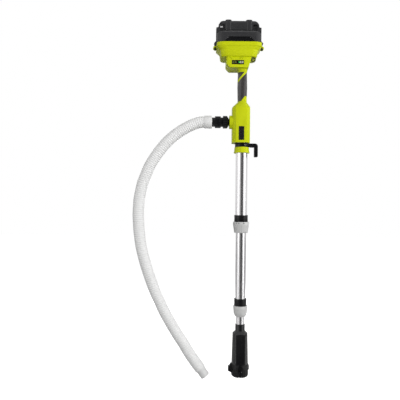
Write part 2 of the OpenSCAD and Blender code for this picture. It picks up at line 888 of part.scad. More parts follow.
module power_switch() {
  back = box_y + box_d / 2 - shell_wall - gap - button_flange_t - button_travel - gap;
  well_back = head_y + stem_d / 2 + stem_wall;
  color([0.2, 0.2, 0.22]) placed() translate([button_x, 0, button_z])
    along_y(well_back + gap, back) round_rect(switch_w, switch_w, switch_w / 8);
}

module lanyard_loop() {
  x = box_right + loop_d / 2 - over;
  color([0.22, 0.24, 0.1]) placed() difference() {
    union() {
      translate([x, loop_y, loop_z]) rod_y(-loop_t / 2, loop_t / 2, loop_d);
      translate([box_right - over, loop_y - loop_t / 2, loop_z - loop_d / 4]) cube([loop_d / 2, loop_t, loop_d / 2]);
    }
    translate([x, loop_y, loop_z]) rod_y(-loop_t, loop_t, loop_hole);
    along_y(-loop_t, loop_t) polygon([
      [box_right_low - box_left, box_z], [box_right_low + glue, box_z], [box_right + glue, box_top],
      [box_right - box_left, box_top]
    ]);
  }
}

// Grip sleeve: soft overmould, swelling in the palm, with a slanted stripe let in
grip_swell = 1.2;
stripe_w = 6;
stripe_t = 1.4;
stripe_lean = 41;

module grip_form(inset) {
  mid = (shoulder_z + grip_top) / 2;
  hull() {
    grip_section(shoulder_z + gap, grip_w - 2 * inset, grip_d - 2 * inset, grip_r - inset);
    grip_section(mid, grip_w + 2 * grip_swell - 2 * inset, grip_d + 2 * grip_swell - 2 * inset, grip_r - inset);
    grip_section(grip_top - gap, grip_w - 2 * inset, grip_d - 2 * inset, grip_r - inset);
  }
}

module stripe_bar(grow) {
  translate([-grip_w / 10, 0, grip_top - grip_w / 2]) rotate([0, stripe_lean, 0])
    translate([-stripe_w / 2 - grow, -grip_d, -grip_w]) cube([stripe_w + 2 * grow, grip_d, 2 * grip_w]);
}

module grip_sleeve() {
  color([0.27, 0.26, 0.27]) placed() difference() {
    grip_form(0);
    translate([0, 0, shoulder_z - over]) linear_extrude(grip_h + 2 * over)
      round_rect(grip_w - 2 * core_wall + 2 * glue, grip_d - 2 * core_wall + 2 * glue, core_r + glue);
    along_y(-grip_d, grip_d) polygon([
      [-grip_w, shoulder_z - over], [-grip_w / 6, shoulder_z + tongue_low + gap],
      [grip_w / 4 - gap, shoulder_z + tongue_rise + gap], [grip_w, shoulder_z + tongue_rise + gap],
      [grip_w, shoulder_z - over]
    ]);
    difference() {
      stripe_bar(0);
      grip_form(stripe_t);
    }
  }
}

module grip_stripe() {
  color([0.78, 0.85, 0.12]) placed() difference() {
    intersection() {
      grip_form(glue);
      stripe_bar(-glue);
    }
    grip_form(stripe_t - glue);
  }
}

module badge_plate() {
  color([0.2, 0.21, 0.1]) placed() translate([body_x, 0, badge_z])
    along_y(-body_d / 2 - badge_t / 4, -body_d / 2 + badge_t - glue) square([badge_w, badge_h], center = true);
}

module indicator_window() {
  color([0.03, 0.03, 0.03]) placed() translate([window_x, 0, window_z]) difference() {
    along_y(box_y - box_d / 2 - lip_gap, box_y - box_d / 2 + window_t - glue) square([window_w, window_h], center = true);
    translate([light_x, 0, 0]) rod_y(-box_d, 0, light_d + 2 * glue);
  }
}

module status_light() {
  color([0.1, 0.8, 0.2]) placed() translate([window_x + light_x, 0, window_z])
    rod_y(box_y - box_d / 2 - lip_gap, box_y - box_d / 2 + window_t + over, light_d);
}

board_w = 34;
board_t = 1.6;
board_gap = 1.6;

module control_board() {
  front = box_y - box_d / 2 + window_t + over + glue;
  color([0.1, 0.35, 0.15]) placed() translate([window_x, 0, window_z]) {
    along_y(front, front + board_t) square([board_w, window_h + board_gap], center = true);
    for (side = [-1, 1]) translate([side * board_w / 4, 0, 0])
      along_y(front + board_t, front + 2 * board_t) square([board_w / 4, window_h / 2], center = true);
  }
}

module terminal_block() {
  color([0.1, 0.1, 0.1]) placed() difference() {
    translate([head_x, head_y, stem_floor + glue]) linear_extrude(terminal_h) round_rect(terminal_w, terminal_d, stem_r / 3);
    for (i = [-1, 0, 1]) translate([head_x + i * terminal_w / 3, head_y, stem_floor + terminal_h / 2])
      linear_extrude(terminal_h) square([blade_t + 2 * glue, blade_w + 2 * glue], center = true);
  }
}
terminal_w = 30;
terminal_d = 18;
terminal_h = 6;
blade_t = 1;
blade_w = 8;
blade_h = 14;

module terminal_blades() {
  color([0.8, 0.65, 0.3]) placed() for (i = [-1, 0, 1])
    translate([head_x + i * terminal_w / 3, head_y, stem_floor + terminal_h / 2 + glue])
      linear_extrude(blade_h) square([blade_t, blade_w], center = true);
}

module power_lead() {
  color([0.1, 0.1, 0.1]) placed() translate([0, 0, manifold_top + gland_h + gap])
    cylinder(d = lead_d, h = stem_floor - stem_wall - gap - manifold_top - gland_h - gap, $fn = fine);
}

// Outlet manifold: holds the upper tube, turns the water to the outlet
module outlet_manifold() {
  color([0.12, 0.12, 0.13]) placed() difference() {
    union() {
      translate([0, 0, manifold_z]) cylinder(d = manifold_d, h = manifold_top - manifold_z, $fn = fine);
      translate([0, 0, port_z]) rod_x(spigot_end_x, 0, spigot_d);
      translate([0, 0, port_z]) rod_x(spigot_end_x, spigot_end_x + spigot_flange_t, spigot_flange_d);
    }
    translate([0, 0, manifold_z - over]) cylinder(d = upper_tube_d + 2 * glue, h = tube_seat + over, $fn = fine);
    translate([0, 0, tube_seat_z - over]) cylinder(d = manifold_chamber, h = manifold_top - manifold_cap - tube_seat_z + over, $fn = fine);
    translate([0, 0, port_z]) rod_x(spigot_end_x - over, 0, water_d);
    translate([0, 0, manifold_z]) cylinder(d = lead_d + 2 * fit, h = manifold_top, $fn = fine);
  }
}

module lead_gland() {
  color([0.16, 0.16, 0.17]) placed() difference() {
    translate([0, 0, manifold_top + glue]) cylinder(d = gland_d, h = gland_h, $fn = 6);
    translate([0, 0, manifold_top - over]) cylinder(d = lead_d + 2 * fit, h = gland_h + 2 * over, $fn = fine);
  }
}

module port_flange() {
  color([0.73, 0.78, 0.08]) placed() translate([0, 0, port_z]) difference() {
    translate([body_left + port_in, 0, 0]) rotate([0, -90, 0])
      cylinder(d = port_d, h = port_in + port_out, $fn = port_sides);
    rod_x(body_left - body_w, 0, spigot_d + 2 * glue);
    translate([body_left + port_in - (port_in + shell_wall) / 2 + over, 0, 0]) rod_x(0, body_w, manifold_d * flange_relief_share);
    translate([0, 0, manifold_z - port_z]) cylinder(d = manifold_d + 2 * gap, h = body_h, $fn = fine);
  }
}
flange_relief_share = 0.6;

module port_washer() {
  color([0.1, 0.1, 0.1]) placed() translate([0, 0, port_z]) difference() {
    rod_x(tail_x + glue, tail_x + glue + washer_t, spigot_flange_d - lip_gap);
    rod_x(tail_x - over, tail_x + washer_t + over, water_d);
  }
}

coupler_grooves = 16;
groove_d = 3;

module coupler_nut() {
  color([0.11, 0.11, 0.12]) placed() translate([0, 0, port_z]) difference() {
    union() {
      rod_x(nut_end_x, nut_x - nut_cone, coupler_d);
      translate([nut_x - nut_cone, 0, 0]) rotate([0, 90, 0])
        cylinder(d1 = coupler_d, d2 = nut_low_d, h = nut_cone, $fn = fine);
    }
    rod_x(nut_end_x - over, nut_x + over, spigot_d + 2 * gap);
    rod_x(nut_end_x - over, spigot_end_x + spigot_flange_t + gap, thread_d + 2 * gap);
    for (i = [0:coupler_grooves - 1]) rotate([i * 360 / coupler_grooves, 0, 0])
      translate([0, 0, coupler_d / 2 + groove_d / 4]) rod_x(nut_end_x - over, nut_x - nut_cone, groove_d);
  }
}

barb_count = 3;

module hose_tail() {
  color([0.1, 0.1, 0.11]) placed() translate([0, 0, port_z]) difference() {
    union() {
      rod_x(barrel_x - over, tail_x, thread_d);
      rod_x(collar_x, barrel_x, barrel_d);
      rod_x(hose_x, collar_x + over, collar_d);
      rod_x(hose_x - barb_l, hose_x + over, barb_d - 2 * barb_step);
      for (i = [0:barb_count - 1]) translate([hose_x - (i + 1) * barb_l / barb_count, 0, 0]) rotate([0, 90, 0])
        cylinder(d1 = barb_d - 2 * barb_step, d2 = barb_d, h = barb_l / barb_count - over, $fn = fine);
    }
    rod_x(hose_x - barb_l - over, tail_x + over, water_d);
    for (i = [0:coupler_grooves - 1]) rotate([i * 360 / coupler_grooves, 0, 0])
      translate([0, 0, barrel_d / 2 + groove_d / 4]) rod_x(collar_x + over, barrel_x - over, groove_d);
  }
}

module near_cuff() {
  color([0.93, 0.94, 0.93]) placed() translate([0, 0, port_z])
    difference() {
      rod_x(hose_x - near_cuff_l, hose_x - glue, hose_d + 2 * (gap + near_cuff_wall));
      rod_x(hose_x - near_cuff_l - over, hose_x + over, hose_d + 2 * gap);
    }
}

// Smooth curve through the route's points, and the places along it at even steps
function spline(a, b, c, d, t) =
  0.5 * (2 * b + (c - a) * t + (2 * a - 5 * b + 4 * c - d) * t * t + (3 * b - a - 3 * c + d) * t * t * t);
function end_pt(i) = route[max(0, min(len(route) - 1, i))];
function curve(u) = let(i = min(len(route) - 2, floor(u)))
  spline(end_pt(i - 1), end_pt(i), end_pt(i + 1), end_pt(i + 2), u - i);
function slope(u) = let(e = 0.01, lo = max(0, u - e), hi = min(len(route) - 1, u + e), v = curve(hi) - curve(lo)) v / norm(v);
fine_steps = 4 * (len(route) - 1);
step_lengths = [for (i = 0, s = 0; i <= fine_steps; s = s + (i < fine_steps ? norm(curve((i + 1) / 4) - curve(i / 4)) : 0), i = i + 1) s];
length_to_place = [for (i = [0:fine_steps]) [step_lengths[i], i / 4]];
hose_length = step_lengths[fine_steps];

function hose_ring(s, d) = let(u = lookup(s, length_to_place), p = curve(u), t = slope(u))
  [for (k = [0:hose_sides - 1]) let(a = (k + 0.5) * 360 / hose_sides, r = d / 2)
    [p[0] - t[1] * r * cos(a), r * sin(a), p[1] + t[0] * r * cos(a)]];

rib_pitch = hose_length / hose_ribs;
outer_rings = concat(
  [hose_ring(0, hose_d - 2 * rib_depth)],
  [for (i = [0:hose_ribs - 1]) each [
    hose_ring((i + rib_shares[0]) * rib_pitch, hose_d),
    hose_ring((i + rib_shares[1]) * rib_pitch, hose_d - 2 * rib_depth)
  ]],
  [hose_ring(hose_length, hose_d - 2 * rib_depth)]
);
inner_rings = [for (i = [0:bore_rings]) hose_ring(hose_length * (1 - i / bore_rings), hose_bore)];
hose_rings = concat(outer_rings, inner_rings);

module hose() {
  n = len(hose_rings);
  points = [for (ring = hose_rings) each ring];
  faces = [for (i = [0:n - 1], k = [0:hose_sides - 1])
    let(a = i * hose_sides + k, b = i * hose_sides + (k + 1) % hose_sides,
      c = ((i + 1) % n) * hose_sides + k, d = ((i + 1) % n) * hose_sides + (k + 1) % hose_sides)
    each [[a, b, d], [a, d, c]]];
  color([0.9, 0.91, 0.9]) placed() polyhedron(points = points, faces = faces);
}

module end_cuff() {
  tip = route[len(route) - 1];
  color([0.92, 0.93, 0.92]) placed() translate([tip[0], 0, tip[1]]) rotate([0, 180 - end_lean, 0]) difference() {
    union() {
      cylinder(d = end_collar_d, h = end_collar_t, $fn = fine);
      cylinder(d = end_cuff_d, h = end_collar_t + end_cuff_l, $fn = fine);
      translate([0, 0, -end_spigot_l]) cylinder(d = hose_bore * cuff_spigot_share, h = end_spigot_l + over, $fn = fine);
    }
    translate([0, 0, -end_spigot_l - over]) cylinder(d = end_bore, h = end_cuff_l + end_spigot_l + end_collar_t + 2 * over, $fn = fine);
  }
}
cuff_spigot_share = 0.9;

// Hook: ring round the pole, arm and leg in one moulding
module hook_outline() {
  outer = hook_inner + hook_leg;
  difference() {
    union() {
      square([outer - hook_corner, hook_h]);
      translate([hook_inner, -hook_drop + hook_tip / 2]) square([hook_leg, hook_drop + hook_h - hook_corner - hook_tip / 2]);
      translate([outer - hook_corner, hook_h - hook_corner]) circle(hook_corner, $fn = fine);
      translate([hook_inner + hook_tip / 2, -hook_drop]) square([hook_leg - hook_tip, hook_tip]);
      for (x = [hook_inner + hook_tip / 2, outer - hook_tip / 2]) translate([x, -hook_drop + hook_tip / 2])
        circle(hook_tip / 2, $fn = fine);
    }
    translate([hook_inner - hook_leg, -2 * hook_drop]) square([hook_leg, 2 * hook_drop]);
  }
}

module hanging_hook() {
  color([0.11, 0.11, 0.12]) placed() difference() {
    union() {
      cylinder(d = hook_ring_d, h = hook_h + gap, $fn = fine);
      along_y(-hook_w / 2, hook_w / 2) difference() {
        hook_outline();
        translate([0, -over]) square([ring_d / 2 + seat_relief, seat_relief + over]);
      }
      translate([hook_screw_x, -hook_ring_d / 2 + over, hook_h / 2]) rod_y(-over, hook_ring_d / 4, screw_head_d + 2 * over);
    }
    translate([0, 0, -over]) cylinder(d = upper_tube_d + 2 * glue, h = hook_h + 3 * over, $fn = fine);
    translate([hook_screw_x, 0, hook_h / 2]) rod_y(-hook_ring_d, 0, screw_d);
  }
}

module hook_screw() {
  face = -hook_ring_d / 2;
  color([0.75, 0.76, 0.78]) placed() translate([hook_screw_x, 0, hook_h / 2]) difference() {
    union() {
      rod_y(face - screw_head_h - glue, face - glue, screw_head_d);
      rod_y(face - glue - over, face + screw_head_h, screw_d - 2 * glue);
    }
    translate([0, face - screw_head_h, 0]) cube([screw_d, screw_head_h, screw_d / 3], center = true);
  }
}

module lower_ring() {
  lip = 2.4;
  color([0.73, 0.78, 0.08]) placed() difference() {
    translate([0, 0, ring_low]) rotate_extrude($fn = fine) polygon([
      [0, 0], [ring_d / 2, 0], [ring_d / 2, lip], [ring_d / 2 - lip / 2, lip + lip / 2],
      [ring_d / 2 - lip, ring_h - lip], [ring_d / 2 - lip, ring_h], [0, ring_h]
    ]);
    translate([0, 0, ring_low - over]) cylinder(d = upper_tube_d + 2 * glue, h = ring_h + 2 * over, $fn = fine);
  }
}

// Pole: three tubes, each clamped by a collet under a twist nut
module upper_tube() {
  color([0.85, 0.86, 0.87]) placed() pipe(upper_tube_low, tube_seat_z, upper_tube_d, upper_bore);
}

module middle_tube() {
  color([0.85, 0.86, 0.87]) placed() pipe(middle_tube_low, middle_top, middle_tube_d, middle_bore);
}

module lower_tube() {
  color([0.85, 0.86, 0.87]) placed() pipe(lower_tube_low, lower_top, lower_tube_d, lower_bore);
}

module clamp_body(z_top, band_h, band_d, tube_d, tube_low) {
  difference() {
    union() {
      translate([0, 0, z_top - band_h]) cylinder(d = band_d, h = band_h, $fn = fine);
      translate([0, 0, tube_low + skirt_lead]) cylinder(d = tube_d + 2 * skirt_wall, h = z_top - tube_low - skirt_lead, $fn = fine);
    }
    translate([0, 0, tube_low]) cylinder(d = tube_d + 2 * glue, h = z_top - tube_low + over, $fn = fine);
    for (side = [-1, 1]) translate([side * band_d / 2, 0, z_top - band_h / 2]) cube([over, band_d / 3, band_h / 3], center = true);
  }
}

module upper_clamp_body() {
  color([0.11, 0.11, 0.12]) placed() clamp_body(upper_band_z, upper_band_h, upper_band_d, upper_tube_d, upper_tube_low);
}

module lower_clamp_body() {
  color([0.11, 0.11, 0.12]) placed() clamp_body(lower_band_z, lower_band_h, lower_band_d, middle_tube_d, middle_tube_low);
}

// Collet: a split ring whose taper the nut squeezes
collet_slots = 6;
collet_slot_w = 1.2;
collet_low_wall = 1.6;

module collet(tube_low, grip_tube_d, outer_tube_d) {
  difference() {
    translate([0, 0, tube_low - gap - collet_h])
      cylinder(d1 = grip_tube_d + 2 * (fit + collet_low_wall), d2 = outer_tube_d + over, h = collet_h, $fn = fine);
    translate([0, 0, tube_low - gap - collet_h - over]) cylinder(d = grip_tube_d + 2 * fit, h = collet_h + 2 * over, $fn = fine);
    for (i = [0:collet_slots - 1]) rotate([0, 0, (i + 0.5) * 360 / collet_slots])
      translate([0, -collet_slot_w / 2, tube_low - gap - collet_h - over])
        cube([outer_tube_d, collet_slot_w, i == 0 ? collet_h + 2 * over : collet_h * 2 / 3]);
  }
}

module upper_collet() {
  color([0.93, 0.93, 0.9]) placed() collet(upper_tube_low, middle_tube_d, upper_tube_d);
}

module lower_collet() {
  color([0.93, 0.93, 0.9]) placed() collet(middle_tube_low, lower_tube_d, middle_tube_d);
}

// Twist nut: plain lip, fluted taper, coned inside over the collet
flutes = 22;
flute_d = 3.2;
nut_lip = 8;

module nut_space(z_top, z_low, outer_tube_d, grip_tube_d, tube_low) {
  translate([0, 0, tube_low - gap]) cylinder(d = outer_tube_d + 2 * (skirt_wall + gap), h = z_top - tube_low + over + gap, $fn = fine);
  translate([0, 0, z_low + nut_floor]) cylinder(d1 = grip_tube_d + 2 * (fit + collet_low_wall + gap),
    d2 = outer_tube_d + over + 2 * gap, h = tube_low - z_low - nut_floor, $fn = fine);
  translate([0, 0, z_low - over]) cylinder(d = grip_tube_d + 2 * gap, h = nut_floor + 2 * over, $fn = fine);
}

module nut_flutes(z_top, z_low, d_top, d_low) {
  drop = z_top - nut_lip - z_low;
  lean = atan(((d_top - d_low) / 2 + flute_d / 8) / drop);
  for (i = [0:flutes - 1]) rotate([0, 0, (i + 0.5) * 360 / flutes])
    translate([d_top / 2 + flute_d / 4, 0, z_top - nut_lip - over]) rotate([0, lean, 0]) translate([0, 0, -drop - 2 * over])
      cylinder(d = flute_d, h = drop + 2 * over, $fn = soft);
}
upper_nut_low_d = 43;
lower_nut_low_d = 34;
lower_nut_end_d = 31;

module upper_lock_nut() {
  color([0.8, 0.81, 0.8]) placed() difference() {
    translate([0, 0, upper_nut_low]) rotate_extrude($fn = fine) polygon([
      [0, 0], [upper_nut_low_d / 2 - over, 0], [upper_nut_low_d / 2, over],
      [upper_nut_d / 2, upper_nut_h - nut_lip], [upper_nut_d / 2, upper_nut_h], [0, upper_nut_h]
    ]);
    nut_space(upper_nut_z, upper_nut_low, upper_tube_d, middle_tube_d, upper_tube_low);
    nut_flutes(upper_nut_z, upper_nut_low, upper_nut_d, upper_nut_low_d);
  }
}

module lower_lock_nut() {
  waist = collet_h + nut_floor;
  color([0.8, 0.81, 0.8]) placed() difference() {
    translate([0, 0, lower_nut_low]) rotate_extrude($fn = fine) polygon([
      [0, 0], [lower_nut_end_d / 2, 0], [lower_nut_low_d / 2, nut_floor / 2], [lower_nut_low_d / 2 + over, nut_floor],
      [lower_nut_d / 2 - over, waist], [lower_nut_d / 2, lower_nut_h - nut_lip], [lower_nut_d / 2, lower_nut_h], [0, lower_nut_h]
    ]);
    nut_space(lower_nut_z, lower_nut_low, middle_tube_d, lower_tube_d, middle_tube_low);
    nut_flutes(lower_nut_z, lower_nut_low + waist / 2, lower_nut_d, lower_nut_d - over);
  }
}

// Piston ring on a tube's top end, with a groove for its seal
module piston(z_top, tube_d, bore) {
  difference() {
    translate([0, 0, z_top - piston_h]) cylinder(d = bore - 2 * piston_slack, h = piston_h, $fn = fine);
    translate([0, 0, z_top - piston_h - over]) cylinder(d = tube_d + 2 * glue, h = piston_h + 2 * over, $fn = fine);
    pipe(z_top - piston_h / 2 - seal_r, z_top - piston_h / 2 + seal_r, bore + over, bore - 2 * seal_deep);
  }
}
seal_deep = 1.2;

module seal(z_top, bore) {
  translate([0, 0, z_top - piston_h / 2])
    pipe(-seal_r + glue, seal_r - glue, bore - 2 * fit, bore - 2 * (seal_deep - glue));
}

module middle_piston() {
  color([0.2, 0.2, 0.22]) placed() piston(middle_top, middle_tube_d, upper_bore);
}

module lower_piston() {
  color([0.2, 0.2, 0.22]) placed() piston(lower_top, lower_tube_d, middle_bore);
}

module middle_seal() {
  color([0.08, 0.08, 0.08]) placed() seal(middle_top, upper_bore);
}

module lower_seal() {
  color([0.08, 0.08, 0.08]) placed() seal(lower_top, middle_bore);
}

// Lead inside the pole: two coiled stretches and a straight tail to the motor
coil_d = 16;
coil_lead_d = 4;
lead_plug_h = 5;

module coiled_lead_upper() {
  color([0.08, 0.08, 0.08]) placed() pipe(middle_top + gap, manifold_top - manifold_cap - gap, coil_d, coil_d - 2 * coil_lead_d);
}

module coiled_lead_lower() {
  color([0.08, 0.08, 0.08]) placed() pipe(lower_top + gap, middle_top - gap, coil_d, coil_d - 2 * coil_lead_d);
}

module tail_lead() {
  color([0.08, 0.08, 0.08]) placed() {
    translate([0, 0, motor_top + gap]) cylinder(d = coil_lead_d, h = lower_top - motor_top - 2 * gap, $fn = fine);
    translate([0, 0, lower_top - gap - lead_plug_h]) cylinder(d = coil_d, h = lead_plug_h, $fn = fine);
  }
}

// Pump head: neck, shoulder, tapered body with a raised front panel, motor inside
module pump_body() {
  skirt_r = strainer_d / 2 - strainer_wall - skirt_gap;
  base_r = pump_base_d / 2;
  top_r = pump_top_d / 2;
  shoulder_low = pump_shoulder_z - shoulder_drop;
  color([0.1, 0.1, 0.11]) placed() difference() {
    union() {
      rotate_extrude($fn = fine) polygon([
        [0, pump_z], [neck_d / 2 - over, pump_z], [neck_d / 2, pump_z - over], [neck_d / 2, pump_shoulder_z],
        [top_r - over, shoulder_low + over], [top_r, shoulder_low], [base_r, pump_low], [skirt_r, pump_low],
        [skirt_r, pump_low - skirt_h], [0, pump_low - skirt_h]
      ]);
      along_x(-panel_w / 2, panel_w / 2) polygon([
        [0, shoulder_low - over], [-top_r + over, shoulder_low - over], [-top_r - panel_proud, shoulder_low - panel_margin],
        [-base_r - panel_proud, pump_low + panel_margin], [-base_r + over, pump_low + over], [0, pump_low + over]
      ]);
    }
    translate([0, 0, lower_tube_low - glue]) cylinder(d = lower_tube_d + 2 * glue, h = socket_h + over, $fn = fine);
    translate([0, 0, motor_top]) cylinder(d = lower_bore, h = pump_z - motor_top, $fn = fine);
    translate([0, 0, motor_top - slab]) cylinder(d1 = pump_bore, d2 = lower_bore, h = lower_tube_low - motor_top - shell_wall, $fn = fine);
    difference() {
      translate([0, 0, pump_low - skirt_h - over]) cylinder(d = pump_bore, h = motor_top + over + skirt_h - pump_low, $fn = fine);
      for (i = [0:3]) rotate([0, 0, 45 + i * 90]) translate([motor_d / 2 + glue, -rib_t / 2, motor_top - motor_h + over])
        cube([pump_bore, rib_t, motor_h - 2 * over]);
    }
  }
}
rib_t = 2;

module motor_can() {
  end_d = motor_d * motor_end_share;
  color([0.6, 0.62, 0.64]) placed() difference() {
    union() {
      translate([0, 0, motor_top - motor_h]) cylinder(d = motor_d, h = motor_h - over, $fn = fine);
      translate([0, 0, motor_top - 2 * over]) cylinder(d = end_d, h = 2 * over, $fn = fine);
    }
    translate([0, 0, motor_top - motor_h - over]) cylinder(d = shaft_d + 2 * gap, h = shaft_in + 2 * over, $fn = fine);
  }
}
motor_end_share = 0.5;

module motor_shaft() {
  color([0.75, 0.76, 0.78]) placed() translate([0, 0, vane_low + over]) cylinder(d = shaft_d, h = motor_top - motor_h + shaft_in - vane_low - over, $fn = fine);
}

diffuser_z = motor_top - motor_h - gap - diffuser_t;
disc_z = diffuser_z - disc_gap - disc_t;
vane_low = disc_z - vane_h;

module diffuser() {
  color([0.18, 0.18, 0.19]) placed() difference() {
    union() {
      translate([0, 0, diffuser_z]) cylinder(d = pump_bore - 2 * glue, h = diffuser_t, $fn = fine);
      translate([0, 0, diffuser_z - gap]) cylinder(d = seal_d + 2 * stem_wall, h = diffuser_t, $fn = fine);
    }
    translate([0, 0, diffuser_z - over]) cylinder(d = seal_d + 2 * glue, h = diffuser_t + 2 * over, $fn = fine);
    for (i = [0:diffuser_slots - 1]) rotate([0, 0, i * 360 / diffuser_slots]) translate([impeller_d / 2 - 2 * over, 0, diffuser_z - over])
      cylinder(d = diffuser_t, h = diffuser_t + 2 * over, $fn = fine);
  }
}

module shaft_seal() {
  color([0.1, 0.1, 0.1]) placed() pipe(diffuser_z - gap, diffuser_z + diffuser_t - glue, seal_d, shaft_d + 2 * gap);
}

// Impeller: disc, hub and backward-swept vanes
module vane() {
  r = impeller_d / 2;
  sweep_r = r * vane_sweep_share;
  intersection() {
    translate([sweep_r, 0]) difference() {
      circle(sweep_r + vane_t / 2, $fn = fine);
      circle(sweep_r - vane_t / 2, $fn = fine);
    }
    difference() {
      circle(r - vane_t / 2, $fn = fine);
      circle(hub_d / 2 - vane_t / 2, $fn = fine);
    }
    square([r, r]);
  }
}
vane_sweep_share = 0.62;

module impeller() {
  color([0.85, 0.85, 0.82]) placed() difference() {
    union() {
      translate([0, 0, disc_z]) cylinder(d = impeller_d, h = disc_t, $fn = fine);
      translate([0, 0, vane_low + 2 * over]) cylinder(d = hub_d, h = disc_z + disc_t - vane_low - over, $fn = fine);
      for (i = [0:vanes - 1]) rotate([0, 0, i * 360 / vanes]) translate([0, 0, vane_low]) linear_extrude(vane_h + over) vane();
    }
    translate([0, 0, vane_low - over]) cylinder(d = shaft_d + 2 * glue, h = vane_h + disc_t + 4 * over, $fn = fine);
  }
}

module suction_plate() {
  color([0.18, 0.18, 0.19]) placed() pipe(vane_low - vane_gap - suction_t, vane_low - vane_gap, pump_bore - 2 * glue, eye_d);
}

// Strainer: slotted basket that snaps over the pump's skirt, with finger lugs
module strainer_profile() {
  r = strainer_d / 2;
  z = pump_low - gap;
  difference() {
    union() {
      translate([0, foot_z + strainer_round]) square([r, z - foot_z - strainer_round]);
      translate([0, foot_z]) square([r - strainer_round, strainer_round + over]);
      translate([r - strainer_round, foot_z + strainer_round]) circle(strainer_round, $fn = fine);
    }
    translate([-r, foot_z + strainer_floor]) square([r + r - strainer_round, strainer_h]);
    translate([0, foot_z + strainer_round]) square([r - strainer_wall, strainer_h]);
  }
}

module strainer_basket() {
  difference() {
    rotate_extrude($fn = fine) intersection() {
      strainer_profile();
      translate([0, foot_z - over]) square([strainer_d, strainer_h + 2 * over]);
    }
    for (i = [0:strainer_slots - 1]) rotate([0, 0, (i + 0.5) * 360 / strainer_slots])
      translate([strainer_d / 2 * slot_in_share, -slot_w / 2, foot_z - over])
        cube([strainer_d / 2, slot_w, strainer_h - slot_top + over]);
  }
}

module strainer() {
  r = strainer_d / 2;
  top = pump_low - gap;
  color([0.1, 0.1, 0.11]) placed() difference() {
    union() {
      strainer_basket();
      along_y(-lug_w / 2, lug_w / 2) polygon([
        [-r + over, top - gap], [-lug_mid, top - gap], [-lug_mid - over, top - lug_h / 4], [-lug_out, top - lug_h * 2 / 5],
        [-lug_out, top - lug_h], [-lug_out + 2 * over, top - lug_h], [-r, top - lug_h - 2 * strainer_wall], [-r + over, top - lug_h]
      ]);
      along_y(-lug_w / 2, lug_w / 2) polygon([
        [r - over, top - 2 * strainer_wall], [lug_right, top - 2 * strainer_wall],
        [lug_right, top - lug_right_h], [r - over, top - lug_right_h - over]
      ]);
      intersection() {
        translate([0, 0, top - slot_top]) rotate([90, 0, 0]) difference() {
          cylinder(d = arch_d, h = r + arch_proud, $fn = fine);
          translate([0, 0, -over]) cylinder(d = arch_d - 2 * arch_t, h = r + arch_proud + 2 * over, $fn = fine);
          translate([-arch_d, -2 * arch_d, -over]) cube([2 * arch_d, 2 * arch_d, strainer_d]);
        }
        translate([0, 0, foot_z]) cylinder(r = r + arch_proud, h = strainer_h - gap, $fn = fine);
      }
    }
    translate([0, 0, foot_z + strainer_round]) cylinder(r = r - strainer_wall, h = strainer_h, $fn = fine);
  }
}

battery_tray();
lid();
carry_handle();
lid_gasket();
lid_hinge_pins();
lid_latch();
latch_pin();
terminal_block();
terminal_blades();
control_board();
indicator_window();
status_light();
front_shell();
rear_shell();
shell_screws();
power_button();
power_switch();
lanyard_loop();
grip_sleeve();
grip_stripe();
badge_plate();
power_lead();
outlet_manifold();
lead_gland();
port_flange();
port_washer();
coupler_nut();
hose_tail();
near_cuff();
hose();
end_cuff();
hanging_hook();
hook_screw();
lower_ring();
upper_tube();
upper_clamp_body();
upper_collet();
upper_lock_nut();
middle_tube();
middle_piston();
middle_seal();
lower_clamp_body();
lower_collet();
lower_lock_nut();
lower_tube();
lower_piston();
lower_seal();
coiled_lead_upper();
coiled_lead_lower();
tail_lead();
pump_body();
motor_can();
motor_shaft();
shaft_seal();
diffuser();
impeller();
suction_plate();
strainer();
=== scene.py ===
# A battery transfer pump on a telescoping pole: battery head, grip, outlet body with its hose,
# two twist nuts and a submersible pump head. Everything is in metres, in the frame of the CAD part.
import json
from math import atan2, cos, pi, radians, sin

import bpy
from mathutils import Matrix, Vector

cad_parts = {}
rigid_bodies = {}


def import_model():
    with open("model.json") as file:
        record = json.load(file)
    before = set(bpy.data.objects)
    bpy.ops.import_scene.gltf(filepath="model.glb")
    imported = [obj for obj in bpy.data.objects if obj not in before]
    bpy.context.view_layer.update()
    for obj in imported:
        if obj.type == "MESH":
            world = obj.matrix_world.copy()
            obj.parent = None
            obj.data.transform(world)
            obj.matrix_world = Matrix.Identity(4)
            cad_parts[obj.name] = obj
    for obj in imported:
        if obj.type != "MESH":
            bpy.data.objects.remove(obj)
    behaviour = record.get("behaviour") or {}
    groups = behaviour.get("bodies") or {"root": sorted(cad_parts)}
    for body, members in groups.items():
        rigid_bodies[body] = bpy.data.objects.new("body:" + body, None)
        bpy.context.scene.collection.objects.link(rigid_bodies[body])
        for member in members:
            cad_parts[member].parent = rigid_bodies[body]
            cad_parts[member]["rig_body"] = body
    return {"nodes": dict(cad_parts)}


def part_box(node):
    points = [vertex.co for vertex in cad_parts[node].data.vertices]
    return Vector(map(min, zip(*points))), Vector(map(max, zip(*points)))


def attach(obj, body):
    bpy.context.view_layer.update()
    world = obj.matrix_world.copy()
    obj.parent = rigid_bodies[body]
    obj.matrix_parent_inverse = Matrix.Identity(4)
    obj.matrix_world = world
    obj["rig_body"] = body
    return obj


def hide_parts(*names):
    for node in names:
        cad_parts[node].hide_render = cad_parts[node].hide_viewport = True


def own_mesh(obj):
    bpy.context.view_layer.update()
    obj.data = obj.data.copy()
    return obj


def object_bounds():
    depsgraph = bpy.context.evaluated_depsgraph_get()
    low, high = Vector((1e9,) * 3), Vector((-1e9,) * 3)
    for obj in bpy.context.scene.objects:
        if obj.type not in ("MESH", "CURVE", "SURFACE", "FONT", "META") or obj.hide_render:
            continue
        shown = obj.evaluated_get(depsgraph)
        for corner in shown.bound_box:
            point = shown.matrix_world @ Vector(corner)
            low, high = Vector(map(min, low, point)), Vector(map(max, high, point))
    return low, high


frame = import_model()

bpy.context.scene.view_settings.view_transform = "Standard"
